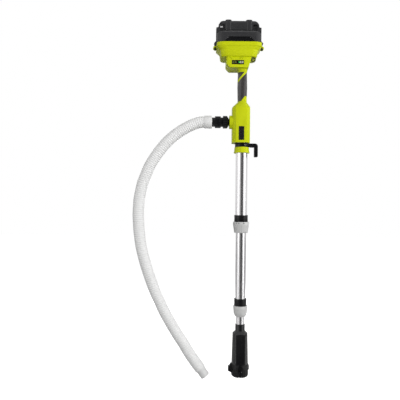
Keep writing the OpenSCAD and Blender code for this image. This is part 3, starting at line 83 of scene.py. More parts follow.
cad_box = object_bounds()

# Camera. It looks level at the middle of the pole from 1.43 m in front and leans by half a
# degree, as the photograph does. The lens is a short normal one.
CAMERA_PLACE = (-0.1643, -1.430, -0.1696)
CAMERA_LEAN = -0.54
CAMERA_LENS = 40.2
camera_data = bpy.data.cameras.new("camera")
camera_data.lens = CAMERA_LENS
camera = bpy.data.objects.new("camera", camera_data)
camera.location = CAMERA_PLACE
camera.rotation_euler = (radians(90), radians(CAMERA_LEAN), 0)
bpy.context.scene.collection.objects.link(camera)
bpy.context.scene.camera = camera

# Studio. The pump hangs over a white floor, far enough above it to be drawn out to its full
# length. The surround is white, with large soft lamps at both sides and above. What metal mirrors
# from straight in front is dark, as the room behind a camera is.
POLE_X = -0.0325
FLOOR_SIZE = 16
FLOOR_BELOW = 0.200
DARK_ASIDE = 0.14
DARK_WITHIN = 0.16
BRIGHT_BEYOND = 0.86
FLOOR_COLOUR = 0.85
FLOOR_GLOW = 0.80
FLOOR_BOUNCE = 0.16
SKY_LIGHT = 0.24
bpy.ops.object.select_all(action="DESELECT")
bpy.ops.mesh.primitive_plane_add(size=FLOOR_SIZE, location=(POLE_X, 0, cad_box[0][2] - FLOOR_BELOW))
floor = bpy.context.object
floor.name = "floor"


def new_finish(name):
    """A new material with its shader, its node list and a shorthand to link two sockets."""
    material = bpy.data.materials.new(name)
    material.use_nodes = True
    nodes = material.node_tree.nodes
    return material, nodes["Principled BSDF"], nodes, material.node_tree.links.new


def own_place(nodes):
    """Where each point lies on the object, which every pattern follows."""
    return nodes.new("ShaderNodeTexCoord").outputs["Object"]


def dress(piece, material):
    """Gives a piece one material all over."""
    piece.data.materials.clear()
    piece.data.materials.append(material)


def by_ray(nodes, link, socket, otherwise, seen):
    """A value that differs for what one kind of ray sees and for all the others."""
    choice = nodes.new("ShaderNodeMix")
    choice.data_type = "FLOAT"
    link(socket, choice.inputs["Factor"])
    for name, value in (("A", otherwise), ("B", seen)):
        if isinstance(value, (int, float)):
            choice.inputs[name].default_value = value
        else:
            link(value, choice.inputs[name])
    return choice.outputs["Result"]


def worked_out(nodes, link, operation, first, second=None):
    """One step of arithmetic in a finish."""
    step = nodes.new("ShaderNodeMath")
    step.operation = operation
    for socket, value in zip(step.inputs, (first, second)):
        if isinstance(value, (int, float)):
            socket.default_value = value
        elif value is not None:
            link(value, socket)
    return step.outputs["Value"]


def ranged(nodes, link, value, start, end, low, high, change="LINEAR"):
    """Turns a value that runs from start to end into one that runs from low to high."""
    step = nodes.new("ShaderNodeMapRange")
    step.interpolation_type = change
    link(value, step.inputs["Value"])
    for socket, number in (("From Min", start), ("From Max", end), ("To Min", low), ("To Max", high)):
        step.inputs[socket].default_value = number
    return step.outputs["Result"]


def dark_in_front(nodes, link, vector, dark, bright):
    """A smooth change from dark in front of the pole, a little to the right, to bright at its
    sides."""
    split = nodes.new("ShaderNodeSeparateXYZ")
    link(vector, split.inputs["Vector"])
    forward = worked_out(nodes, link, "MULTIPLY", split.outputs["Y"], -1)
    angle = worked_out(nodes, link, "ARCTAN2", split.outputs["X"], forward)
    aside = worked_out(nodes, link, "SUBTRACT", angle, DARK_ASIDE)
    return ranged(nodes, link, worked_out(nodes, link, "ABSOLUTE", aside), DARK_WITHIN, BRIGHT_BEYOND,
                  dark, bright, "SMOOTHSTEP")


floor_paint, floor_shader, nodes, link = new_finish("floor_paint")
floor_shader.inputs["Roughness"].default_value = 0.9
floor_shader.inputs["Emission Color"].default_value = (1, 1, 1, 1)
ray = nodes.new("ShaderNodeLightPath")
mirrored = dark_in_front(nodes, link, own_place(nodes), 0.04, 0.92)
shade = by_ray(nodes, link, ray.outputs["Is Camera Ray"],
               by_ray(nodes, link, ray.outputs["Is Glossy Ray"], FLOOR_BOUNCE, mirrored), FLOOR_COLOUR)
grey = nodes.new("ShaderNodeCombineColor")
for channel in ("Red", "Green", "Blue"):
    link(shade, grey.inputs[channel])
link(grey.outputs["Color"], floor_shader.inputs["Base Color"])
link(by_ray(nodes, link, ray.outputs["Is Camera Ray"], 0, FLOOR_GLOW),
     floor_shader.inputs["Emission Strength"])
floor_paint.cycles.emission_sampling = "NONE"
dress(floor, floor_paint)

world = bpy.data.worlds.new("studio")
world.use_nodes = True
bpy.context.scene.world = world
nodes = world.node_tree.nodes
link = world.node_tree.links.new
direction = nodes.new("ShaderNodeTexCoord")
ray = nodes.new("ShaderNodeLightPath")
mirrored = dark_in_front(nodes, link, direction.outputs["Generated"], 0.05, 0.84)
nodes["Background"].inputs["Color"].default_value = (1, 1, 1, 1)
link(by_ray(nodes, link, ray.outputs["Is Camera Ray"],
            by_ray(nodes, link, ray.outputs["Is Glossy Ray"], SKY_LIGHT, mirrored), 1),
     nodes["Background"].inputs["Strength"])


def softbox(name, place, aim, width, height, power, mirrored=True):
    """A square lamp that faces a point. One with a screen before it isn't mirrored in gloss."""
    lamp = bpy.data.lights.new(name, "AREA")
    lamp.shape = "RECTANGLE"
    lamp.size = width
    lamp.size_y = height
    lamp.energy = power
    holder = bpy.data.objects.new(name, lamp)
    holder.location = place
    holder.visible_glossy = mirrored
    holder.rotation_euler = (Vector(aim) - Vector(place)).to_track_quat("-Z", "Y").to_euler()
    bpy.context.scene.collection.objects.link(holder)


softbox("left_lamp", place=(-1.75, -1.0, 0.0), aim=(POLE_X, 0, -0.15),
        width=1.1, height=2.4, power=9)
softbox("right_lamp", place=(1.65, -1.0, 0.0), aim=(POLE_X, 0, -0.15),
        width=1.1, height=2.4, power=11)
softbox("top_lamp", place=(POLE_X, -0.8, 1.7), aim=(POLE_X, 0, 0.1),
        width=1.4, height=0.9, power=2.5)
softbox("front_lamp", place=(POLE_X + 0.2, -2.2, 0.32), aim=(POLE_X, 0, 0.1),
        width=1.4, height=0.9, power=21, mirrored=False)
softbox("right_fill", place=(1.6, -0.5, 0.3), aim=(POLE_X, 0, 0.1),
        width=0.8, height=1.0, power=13, mirrored=False)
softbox("foot_lamp", place=(POLE_X + 0.3, -1.6, -0.6), aim=(POLE_X, 0, -0.45),
        width=0.8, height=0.8, power=4, mirrored=False)
softbox("back_lamp", place=(POLE_X, 2.3, 0.6), aim=(POLE_X, 0, -0.1),
        width=1.6, height=1.8, power=30, mirrored=False)

# Battery tray. A green tub with stepped walls, a rim and hinge ears, on top of the housing.
# It is moulded in glass-filled nylon with a fine spark finish and drawn straight up out of its
# mould, so its edges are softly rounded.
BIG_EDGE = 0.0008


def only(piece):
    """Selects one piece and nothing else, and makes it the active one."""
    bpy.ops.object.select_all(action="DESELECT")
    piece.select_set(True)
    bpy.context.view_layer.objects.active = piece


def smooth_edges(piece, angle):
    """Shades a piece smooth, apart from edges that turn by more than the angle."""
    only(piece)
    bpy.ops.object.shade_smooth_by_angle(angle=radians(angle))


def cloudy(nodes, link, place, scale, detail):
    """An uneven value, as in cloudy plastic: a larger scale gives smaller spots."""
    cloud = nodes.new("ShaderNodeTexNoise")
    cloud.inputs["Scale"].default_value = scale
    cloud.inputs["Detail"].default_value = detail
    link(place, cloud.inputs["Vector"])
    return cloud.outputs["Fac"]


def stretched(nodes, link, place, turned, scale):
    """Turns a pattern, or draws it out along one way, as scuffs and drawing lines are."""
    step = nodes.new("ShaderNodeMapping")
    step.inputs["Rotation"].default_value = turned
    step.inputs["Scale"].default_value = scale
    link(place, step.inputs["Vector"])
    return step.outputs["Vector"]


def tinted(nodes, link, amount, first, second):
    """A colour that goes from the first to the second with a value."""
    tint = nodes.new("ShaderNodeMix")
    tint.data_type = "RGBA"
    tint.inputs["A"].default_value = (*first, 1)
    tint.inputs["B"].default_value = (*second, 1)
    link(amount, tint.inputs["Factor"])
    return tint.outputs["Result"]


def relief(nodes, link, shader, height, strength, depth):
    """A fine relief on a surface, from a value that is its height."""
    bump = nodes.new("ShaderNodeBump")
    bump.inputs["Strength"].default_value = strength
    bump.inputs["Distance"].default_value = depth
    link(height, bump.inputs["Height"])
    link(bump.outputs["Normal"], shader.inputs["Normal"])


def moulded_plastic(name, colour, shade, roughness, grain=900, grain_height=0.02, patch=18, **sockets):
    """Moulded plastic: a fine spark texture, a faint cloudiness in its colour and light scuffs
    that make it a little duller in streaks."""
    material, shader, nodes, link = new_finish(name)
    place = own_place(nodes)
    patches = ranged(nodes, link, cloudy(nodes, link, place, patch, 4), 0.3, 0.6, 0, 1)
    link(tinted(nodes, link, patches, shade, colour), shader.inputs["Base Color"])
    speck = cloudy(nodes, link, place, grain, 3)
    streak = stretched(nodes, link, place, (0.3, 0.5, 0.2), (1, 1, 0.08))
    scuff = cloudy(nodes, link, streak, 260, 5)
    dull = worked_out(nodes, link, "ADD", speck, scuff)
    link(ranged(nodes, link, dull, 0.6, 1.4, roughness - 0.07, roughness + 0.07), shader.inputs["Roughness"])
    relief(nodes, link, shader, speck, grain_height, 0.0005)
    for socket, value in sockets.items():
        shader.inputs[socket.replace("_", " ")].default_value = value
    return material


def welded_copy(node, weld=0.00001):
    """A copy of a CAD piece with its loose triangles welded. It stands for the CAD piece and
    rides on the same body."""
    source = frame["nodes"][node]
    piece = bpy.data.objects.new(node + "_finished", source.data.copy())
    bpy.context.scene.collection.objects.link(piece)
    only(piece)
    bpy.ops.object.mode_set(mode="EDIT")
    bpy.ops.mesh.select_all(action="SELECT")
    bpy.ops.mesh.customdata_custom_splitnormals_clear()
    bpy.ops.mesh.remove_doubles(threshold=weld)
    bpy.ops.mesh.dissolve_limited(angle_limit=radians(0.6))
    bpy.ops.object.mode_set(mode="OBJECT")
    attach(piece, source["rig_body"])
    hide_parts(node)
    return piece


def soft_edges(piece, edge, segments=2, angle=28):
    """Rounds a piece's sharp edges, as a mould or a tool leaves them, and shades it."""
    only(piece)
    bevel = piece.modifiers.new("edges", "BEVEL")
    bevel.width = edge
    bevel.segments = segments
    bevel.limit_method = "ANGLE"
    bevel.angle_limit = radians(angle)
    bpy.ops.object.modifier_apply(modifier="edges")
    smooth_edges(piece, 34)


def finished(node, material, edge):
    """A rounded copy of a CAD piece in its material."""
    piece = welded_copy(node)
    soft_edges(piece, edge)
    dress(piece, material)
    return piece


green_plastic = moulded_plastic("green_plastic", (0.545, 0.612, 0.004), (0.515, 0.582, 0.003), 0.42,
                                grain=1100, Specular_IOR_Level=0.20)
finished("battery_tray", green_plastic, edge=BIG_EDGE)

# Strap-eye plugs. A black rubber plug with a domed head closes each eye at the tray's sides.
# It is pushed through from the front, and its waist fills the eye.
black_rubber = moulded_plastic("black_rubber", (0.010, 0.010, 0.011), (0.008, 0.008, 0.009), 0.60, grain=420,
                               grain_height=0.08)
EYE_FROM_SIDE = 0.007
EYE_Y = 0.004
EYE_Z = 0.3150
PLUG_D = 0.0056
PLUG_HALF = 0.0034
PLUG_STEP = 0.0001
PLUG_HEAD_D = 0.0070
PLUG_HEAD_T = 0.0009
PLUG_DOME = ((0.0014, 0.0005), (0.0012, 0.0001))
FACING = 0.9
tray_low, tray_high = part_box("battery_tray")


def select_faces(piece, chosen):
    """In edit mode, selects only those faces for which the test is true."""
    bpy.ops.mesh.select_all(action="DESELECT")
    bpy.ops.object.mode_set(mode="OBJECT")
    for face in piece.data.polygons:
        face.select = chosen(face)
    bpy.ops.object.mode_set(mode="EDIT")
    bpy.ops.mesh.select_mode(type="FACE")


def settle(piece):
    """Puts a piece's place, turn and size into its mesh, so its object stands at the origin."""
    bpy.ops.object.mode_set(mode="OBJECT")
    only(piece)
    bpy.ops.object.transform_apply(location=True, rotation=True, scale=True)


def copied(piece, name, shift):
    """Another one of a piece, moved, with a mesh of its own."""
    other = bpy.data.objects.new(name, piece.data.copy())
    other.data.transform(Matrix.Translation(shift))
    bpy.context.scene.collection.objects.link(other)
    return other


bpy.ops.object.select_all(action="DESELECT")
bpy.ops.mesh.primitive_cylinder_add(vertices=32, radius=PLUG_D / 2, depth=2 * PLUG_HALF,
                                    location=(tray_low.x + EYE_FROM_SIDE, EYE_Y, EYE_Z),
                                    rotation=(radians(90), 0, 0))
left_plug = bpy.context.object
left_plug.name = "left_eye_plug"
settle(left_plug)
bpy.ops.object.mode_set(mode="EDIT")
for end in (-1, 1):
    select_faces(left_plug, lambda face: face.normal.y * end > FACING)
    bpy.ops.mesh.extrude_region_move(TRANSFORM_OT_translate={"value": (0, end * PLUG_STEP, 0)})
    bpy.ops.transform.resize(value=(PLUG_HEAD_D / PLUG_D, 1, PLUG_HEAD_D / PLUG_D))
    bpy.ops.mesh.extrude_region_move(TRANSFORM_OT_translate={"value": (0, end * PLUG_HEAD_T, 0)})
    for inward, outward in PLUG_DOME:
        bpy.ops.mesh.inset(thickness=inward, depth=outward)
settle(left_plug)
soft_edges(left_plug, edge=0.0002)
dress(left_plug, black_rubber)
right_plug = copied(left_plug, "right_eye_plug", (tray_high.x - tray_low.x - 2 * EYE_FROM_SIDE, 0, 0))
for plug in (left_plug, right_plug):
    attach(plug, "root")

# Battery lid and latch. A black nylon cover closes the tray. The rocker latch lies in the recess
# of its front and turns on a steel pin; a soft gasket seals the rim, and two pins carry the lid.
lid_plastic = moulded_plastic("lid_plastic", (0.029, 0.029, 0.031), (0.023, 0.023, 0.025), 0.46, grain=760,
                              grain_height=0.03, Specular_IOR_Level=0.36)
black_plastic = moulded_plastic("black_plastic", (0.006, 0.006, 0.007), (0.0045, 0.0045, 0.005), 0.30,
                                Specular_IOR_Level=0.24)
steel, shader, nodes, link = new_finish("steel")
shader.inputs["Base Color"].default_value = (0.60, 0.60, 0.61, 1)
shader.inputs["Metallic"].default_value = 1
turned = cloudy(nodes, link, own_place(nodes), 1600, 4)
link(ranged(nodes, link, turned, 0, 1, 0.22, 0.40), shader.inputs["Roughness"])
relief(nodes, link, shader, turned, 0.05, 0.0003)
finished("lid", lid_plastic, edge=0.0009)
finished("lid_latch", black_plastic, edge=0.0005)
for node in ("latch_pin", "lid_hinge_pins"):
    finished(node, steel, edge=0.0003)
dress(frame["nodes"]["lid_gasket"], black_rubber)

# Latch pin clips. A small spring-steel washer at each end of the latch's pin keeps it in the
# walls of the recess.
CLIP_D = 0.0046
CLIP_T = 0.0005
CLIP_FROM_END = 0.00235
pin_low, pin_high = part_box("latch_pin")
bpy.ops.object.select_all(action="DESELECT")
bpy.ops.mesh.primitive_cylinder_add(vertices=24, radius=CLIP_D / 2, depth=CLIP_T,
                                    location=(pin_low.x + CLIP_FROM_END, (pin_low.y + pin_high.y) / 2,
                                              (pin_low.z + pin_high.z) / 2),
                                    rotation=(0, radians(90), 0))
left_clip = bpy.context.object
left_clip.name = "left_pin_clip"
settle(left_clip)
soft_edges(left_clip, edge=0.00012)
dress(left_clip, steel)
right_clip = copied(left_clip, "right_pin_clip", (pin_high.x - pin_low.x - 2 * CLIP_FROM_END, 0, 0))
for clip in (left_clip, right_clip):
    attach(clip, "lid")

# Carry handle. An arch over the lid with two banded knuckles, moulded in the lid's nylon with a
# satin front. It is seated on the lid's shoulders and flanks its sides. The bar between the
# knuckles is drawn up until its top lies just under theirs.
handle_plastic = moulded_plastic("handle_plastic", (0.029, 0.029, 0.031), (0.024, 0.024, 0.026), 0.42,
                                 grain=760, grain_height=0.03, Specular_IOR_Level=0.40)
BAR_BELOW = 0.0030
BAR_RISE = 0.0024
BAR_DEEP = 0.0180
_, handle_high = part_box("carry_handle")
handle = welded_copy("carry_handle")
for vertex in handle.data.vertices:
    below = handle_high.z - vertex.co.z
    if below < BAR_BELOW:
        vertex.co.z = handle_high.z - below * (1 - BAR_RISE / BAR_BELOW)
    elif below < BAR_DEEP:
        vertex.co.z += BAR_RISE * (BAR_DEEP - below) / (BAR_DEEP - BAR_BELOW)
soft_edges(handle, edge=0.0016, segments=3)
dress(handle, handle_plastic)

# Green housing. Two moulded halves meet round the pole: switch box, neck, the core of the grip
# and the outlet body. Steel screws hold them together from the rear.
for node in ("front_shell", "rear_shell"):
    finished(node, green_plastic, edge=BIG_EDGE)
finished("shell_screws", steel, edge=0.00025)

# Ribs of the switch box. Two slanted ribs are moulded on its face, from the tray down to both
# sides of the window, where they stiffen the joint of box and tray.
RIB_WIDTH = 0.0020
RIB_PROUD = 0.0013
PANE_SUNK = 0.0020
RIB_ENDS = [((-0.0743, 0.2812), (-0.0664, 0.2728)), ((-0.0338, 0.2812), (-0.0402, 0.2738))]
window_low, window_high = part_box("indicator_window")
for number, ((x0, z0), (x1, z1)) in enumerate(RIB_ENDS, 1):
    length = ((x1 - x0) ** 2 + (z1 - z0) ** 2) ** 0.5
    bpy.ops.object.select_all(action="DESELECT")
    bpy.ops.mesh.primitive_cube_add(size=1,
                                    location=((x0 + x1) / 2, window_high.y - PANE_SUNK, (z0 + z1) / 2),
                                    rotation=(0, atan2(x1 - x0, z1 - z0), 0),
                                    scale=(RIB_WIDTH, 2 * RIB_PROUD, length))
    box_rib = bpy.context.object
    box_rib.name = "box_rib_%d" % number
    settle(box_rib)
    bpy.ops.object.mode_set(mode="EDIT")
    select_faces(box_rib, lambda face: face.normal.y < -FACING)
    bpy.ops.mesh.inset(thickness=RIB_WIDTH / 4, depth=RIB_PROUD / 4)
    settle(box_rib)
    soft_edges(box_rib, edge=0.0002)
    dress(box_rib, green_plastic)
    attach(box_rib, "root")

# Indicator window. A glossy black acrylic pane in the face of the switch box, in a raised bezel.
# Behind it are four charge cells, two olive and two pale, and a round green light.
window_acrylic = moulded_plastic("window", (0.010, 0.010, 0.011), (0.008, 0.008, 0.009), 0.16, grain=300,
                                 grain_height=0.01)
dress(frame["nodes"]["indicator_window"], window_acrylic)
BEZEL_WIDTH = 0.0016
BEZEL_PROUD = 0.0005
BEZEL_SUNK = 0.8


def bezel(name, low, high, width, proud, material):
    """A raised frame round a pane: its front is inset and pushed back to the pane."""
    bpy.ops.object.select_all(action="DESELECT")
    bpy.ops.mesh.primitive_cube_add(size=1, location=((low.x + high.x) / 2, low.y, (low.z + high.z) / 2),
                                    scale=(high.x - low.x, 2 * proud, high.z - low.z))
    piece = bpy.context.object
    piece.name = name
    settle(piece)
    bpy.ops.object.mode_set(mode="EDIT")
    select_faces(piece, lambda face: face.normal.y < -FACING)
    bpy.ops.mesh.inset(thickness=width)
    bpy.ops.mesh.extrude_region_move(TRANSFORM_OT_translate={"value": (0, BEZEL_SUNK * proud, 0)})
    settle(piece)
    soft_edges(piece, proud / 3)
    dress(piece, material)
    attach(piece, "root")
    return piece


bezel("window_bezel", window_low, window_high, BEZEL_WIDTH, BEZEL_PROUD, black_plastic)
cell_olive = moulded_plastic("cell_olive", (0.110, 0.120, 0.020), (0.095, 0.105, 0.017), 0.30, grain=600)
cell_pale = moulded_plastic("cell_pale", (0.42, 0.43, 0.34), (0.38, 0.39, 0.31), 0.30, grain=600)
CELLS = [(-0.0636, cell_olive), (-0.0566, cell_olive), (-0.0412, cell_pale), (-0.0350, cell_pale)]
CELL_WIDTH = 0.0050
CELL_HEIGHT = 0.0068
CELL_THICK = 0.0006
CELL_BORDER = 0.0004
CELL_PROUD = 0.0001
bpy.ops.object.select_all(action="DESELECT")
bpy.ops.mesh.primitive_cube_add(size=1, scale=(CELL_WIDTH, CELL_THICK, CELL_HEIGHT),
                                location=(CELLS[0][0], window_low.y - CELL_PROUD,
                                          (window_low.z + window_high.z) / 2))
first_cell = bpy.context.object
first_cell.name = "charge_cell_1"
settle(first_cell)
bpy.ops.object.mode_set(mode="EDIT")
select_faces(first_cell, lambda face: face.normal.y < -FACING)
bpy.ops.mesh.inset(thickness=CELL_BORDER, depth=CELL_BORDER / 5)
settle(first_cell)
soft_edges(first_cell, edge=0.0001)
for number, (cell_x, material) in enumerate(CELLS, 1):
    cell = first_cell
    if number > 1:
        cell = copied(first_cell, "charge_cell_%d" % number, (cell_x - CELLS[0][0], 0, 0))
    dress(cell, material)
    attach(cell, "root")
green_light, shader, nodes, link = new_finish("light")
spot = cloudy(nodes, link, own_place(nodes), 500, 2)
glow = tinted(nodes, link, spot, (0.01, 0.55, 0.04), (0.06, 0.85, 0.10))
link(glow, shader.inputs["Base Color"])
link(glow, shader.inputs["Emission Color"])
shader.inputs["Emission Strength"].default_value = 0.35
shader.inputs["Roughness"].default_value = 0.25
LENS_FLAT = 0.35
LENS_BACK = 0.0004
light_low, light_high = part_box("status_light")
bpy.ops.object.select_all(action="DESELECT")
bpy.ops.mesh.primitive_uv_sphere_add(segments=24, ring_count=12, radius=(light_high.x - light_low.x) / 2,
                                     location=((light_low.x + light_high.x) / 2, light_low.y,
                                               (light_low.z + light_high.z) / 2), scale=(1, LENS_FLAT, 1))
lens = bpy.context.object
lens.name = "light_lens"
settle(lens)
bpy.ops.object.mode_set(mode="EDIT")
bpy.ops.mesh.select_all(action="SELECT")
bpy.ops.mesh.bisect(plane_co=(0, light_low.y + LENS_BACK, 0), plane_no=(0, 1, 0), clear_outer=True,
                    use_fill=True)
settle(lens)
smooth_edges(lens, 40)
dress(lens, green_light)
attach(lens, "root")
dress(frame["nodes"]["status_light"], green_light)

# Electrics of the head. A terminal block with brass blades for the battery, a small control
# board behind the window, and a black push button with its switch in the rear of the box.
brass, shader, nodes, link = new_finish("brass")
shader.inputs["Metallic"].default_value = 1
tarnish = cloudy(nodes, link, own_place(nodes), 240, 5)
link(tinted(nodes, link, tarnish, (0.62, 0.43, 0.17), (0.76, 0.56, 0.25)), shader.inputs["Base Color"])
link(ranged(nodes, link, tarnish, 0, 1, 0.38, 0.24), shader.inputs["Roughness"])
board, shader, nodes, link = new_finish("board")
traces = nodes.new("ShaderNodeTexBrick")
traces.inputs["Color1"].default_value = (0.010, 0.120, 0.040, 1)
traces.inputs["Color2"].default_value = (0.014, 0.140, 0.050, 1)
traces.inputs["Mortar"].default_value = (0.030, 0.240, 0.090, 1)
traces.inputs["Scale"].default_value = 260
traces.inputs["Mortar Size"].default_value = 0.03
link(own_place(nodes), traces.inputs["Vector"])
link(traces.outputs["Color"], shader.inputs["Base Color"])
shader.inputs["Roughness"].default_value = 0.35
dress(frame["nodes"]["control_board"], board)
finished("terminal_block", black_plastic, edge=0.0004)
finished("terminal_blades", brass, edge=0.00015)
finished("power_button", black_plastic, edge=0.0006)
dress(frame["nodes"]["power_switch"], black_plastic)
dress(frame["nodes"]["power_lead"], black_rubber)

# Button ring. A shallow black guard ring round the push button, pressed into the rear wall.
RING_OUT = 0.0017
RING_PROUD = 0.0008
RING_CLEAR = 0.0004
button_low, button_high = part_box("power_button")
_, rear_shell_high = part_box("rear_shell")
bpy.ops.object.select_all(action="DESELECT")
bpy.ops.mesh.primitive_cylinder_add(vertices=64, radius=(button_high.x - button_low.x) / 2 + RING_OUT,
                                    depth=2 * RING_PROUD, rotation=(radians(90), 0, 0),
                                    location=((button_low.x + button_high.x) / 2, rear_shell_high.y,
                                              (button_low.z + button_high.z) / 2))
button_ring = bpy.context.object
button_ring.name = "button_ring"
settle(button_ring)
bpy.ops.object.mode_set(mode="EDIT")
select_faces(button_ring, lambda face: abs(face.normal.y) > FACING)
bpy.ops.mesh.inset(thickness=RING_OUT - RING_CLEAR, use_individual=True)
bpy.ops.mesh.bridge_edge_loops()
settle(button_ring)
soft_edges(button_ring, edge=0.0002)
dress(button_ring, black_plastic)
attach(button_ring, "root")

# Lanyard loop. A ring at the right of the switch box, for a wrist cord; its dark olive colour is the
# green plastic in painted shade. It is moulded in smooth nylon and stands on the wall of the box.
# Painted shade: the loop's material is the green plastic darkened to how it looks in shadow.
loop_green_painted_shade = moulded_plastic("loop_green_painted_shade", (0.060, 0.064, 0.010), (0.050, 0.054, 0.008), 0.40)
finished("lanyard_loop", loop_green_painted_shade, edge=0.0004)

# Grip. A soft rubber sleeve is moulded over the core, with fine cross-hatched texture; a raised
# green stripe leans across its upper front.
grip_rubber, shader, nodes, link = new_finish("grip_rubber")
shader.inputs["Specular IOR Level"].default_value = 0.70
shader.inputs["Sheen Weight"].default_value = 0.30
place = own_place(nodes)
dimples = nodes.new("ShaderNodeTexVoronoi")
dimples.inputs["Scale"].default_value = 620
dimples.inputs["Randomness"].default_value = 0.25
link(stretched(nodes, link, place, (0, radians(45), 0), (1, 1, 1)), dimples.inputs["Vector"])
palm = cloudy(nodes, link, place, 30, 4)
link(tinted(nodes, link, palm, (0.022, 0.019, 0.019), (0.031, 0.027, 0.027)), shader.inputs["Base Color"])
link(ranged(nodes, link, dimples.outputs["Distance"], 0, 1, 0.36, 0.52), shader.inputs["Roughness"])
relief(nodes, link, shader, dimples.outputs["Distance"], 0.12, 0.0004)
finished("grip_sleeve", grip_rubber, edge=0.0006)
lime_rubber = moulded_plastic("lime_rubber", (0.54, 0.61, 0.006), (0.51, 0.58, 0.005), 0.50, grain=620,
                              Specular_IOR_Level=0.3)
dress(frame["nodes"]["grip_stripe"], lime_rubber)

# Badge plate. A bare dark plate on the front of the outlet body, in a thin raised frame; it is
# clipped into a shallow pocket.
FRAME_WIDTH = 0.0009
FRAME_PROUD = 0.0004
badge = moulded_plastic("badge", (0.012, 0.011, 0.013), (0.009, 0.008, 0.010), 0.26, grain=500)
dress(frame["nodes"]["badge_plate"], badge)
badge_low, badge_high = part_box("badge_plate")
bezel("badge_frame", badge_low, badge_high, FRAME_WIDTH, FRAME_PROUD, badge)

# Outlet. The green port flange carries a black rubber washer and the coupling nut, which pulls
# the barbed hose tail against it. The manifold inside holds the upper tube and the lead's gland.
finished("port_flange", green_plastic, edge=0.0007)
finished("coupler_nut", black_plastic, edge=0.0005)
finished("hose_tail", black_plastic, edge=0.0005)
for node in ("port_washer", "lead_gland"):
    dress(frame["nodes"][node], black_rubber)
dress(frame["nodes"]["outlet_manifold"], black_plastic)

# Hose. A ribbed, flexible tube of near-white soft plastic, about one metre long. It is pushed
# over the barrel of the hose tail and bows out to the left until its cuff is beside the foot.
HOSE_D = 0.037
HOSE_BORE = 0.028
HOSE_RIBS = 145
RIB_DEPTH = 0.0012
RIB_STEPS = 6
HOSE_SIDES = 40
BORE_STEPS = 200
ROUTE_STEPS = 12
HOSE_ROUTE = [
    (-0.0960, 0.080), (-0.115, 0.080), (-0.134, 0.079), (-0.161, 0.070), (-0.189, 0.055),
    (-0.216, 0.036), (-0.240, 0.014), (-0.261, -0.011), (-0.279, -0.037), (-0.294, -0.062),
    (-0.305, -0.088), (-0.315, -0.114), (-0.321, -0.139), (-0.326, -0.165), (-0.328, -0.191),
    (-0.329, -0.216), (-0.328, -0.242), (-0.326, -0.268), (-0.323, -0.293), (-0.319, -0.319),
    (-0.313, -0.344), (-0.306, -0.370), (-0.298, -0.395), (-0.289, -0.421), (-0.280, -0.446),
    (-0.269, -0.472), (-0.257, -0.497), (-0.245, -0.523), (-0.231, -0.548), (-0.216, -0.574),
    (-0.200, -0.600), (-0.183, -0.625), (-0.166, -0.653), (-0.149, -0.678), (-0.138, -0.693),
    (-0.127, -0.708),
]


def smooth_line(route, steps):
    """Points of a smooth curve through a route of (x, z) pairs, all at the pole's depth."""
    knots = [Vector((x + POLE_X, 0, z)) for x, z in route]
    ends = [2 * knots[0] - knots[1]] + knots + [2 * knots[-1] - knots[-2]]
    line = []
    for a, b, c, d in zip(ends, ends[1:], ends[2:], ends[3:]):
        for i in range(steps):
            t = i / steps
            line.append(0.5 * (2 * b + (c - a) * t + (2 * a - 5 * b + 4 * c - d) * t ** 2
                               + (3 * b - 3 * c + d - a) * t ** 3))
    return line + [knots[-1]]


def even_places(line, count):
    """Places and directions at even distances along a line of points."""
    run = [0.0]
    for p, q in zip(line, line[1:]):
        run.append(run[-1] + (q - p).length)
    places = []
    k = 0
    for i in range(count + 1):
        reach = run[-1] * i / count
        while k < len(line) - 2 and run[k + 1] < reach:
            k += 1
        t = (reach - run[k]) / (run[k + 1] - run[k])
        places.append((line[k].lerp(line[k + 1], t), (line[k + 1] - line[k]).normalized()))
    return places, run[-1]


def ring_of_points(centre, along, diameter, sides):
    """A ring square to the line, in the plane of the pole and the depth of the picture."""
    back = Vector((0, 1, 0))
    across = back.cross(along)
    turns = [2 * pi * k / sides for k in range(sides)]
    return [centre + diameter / 2 * (cos(turn) * across + sin(turn) * back) for turn in turns]


def tube_mesh(name, rings):
    """A closed mesh of rings in order, the last one joined to the first."""
    sides = len(rings[0])
    points = [p for ring in rings for p in ring]
    faces = []
    for i in range(len(rings)):
        j = (i + 1) % len(rings)
        for k in range(sides):
            m = (k + 1) % sides
            faces.append((i * sides + k, i * sides + m, j * sides + m, j * sides + k))
    mesh = bpy.data.meshes.new(name)
    mesh.from_pydata(points, [], faces)
    mesh.update()
    piece = bpy.data.objects.new(name, mesh)
    bpy.context.scene.collection.objects.link(piece)
    return piece


hose_line = smooth_line(HOSE_ROUTE, ROUTE_STEPS)
outer, hose_length = even_places(hose_line, HOSE_RIBS * RIB_STEPS)
inner, _ = even_places(hose_line, BORE_STEPS)
hose_rings = []
rib_waves = [0.5 - 0.5 * cos(2 * pi * i / RIB_STEPS) for i in range(len(outer))]
for (centre, along), wave in zip(outer, rib_waves):
    hose_rings.append(ring_of_points(centre, along, HOSE_D - 2 * RIB_DEPTH * (1 - wave), HOSE_SIDES))
for centre, along in reversed(inner):
    hose_rings.append(ring_of_points(centre, along, HOSE_BORE, HOSE_SIDES))
hose = tube_mesh("ribbed_hose", hose_rings)
rib = hose.data.attributes.new("rib", "FLOAT", "POINT")
for i, wave in enumerate(rib_waves):
    for k in range(HOSE_SIDES):
        rib.data[i * HOSE_SIDES + k].value = wave
only(hose)
bpy.ops.object.mode_set(mode="EDIT")
bpy.ops.mesh.select_all(action="SELECT")
bpy.ops.mesh.normals_make_consistent(inside=False)
bpy.ops.object.mode_set(mode="OBJECT")
smooth_edges(hose, 60)

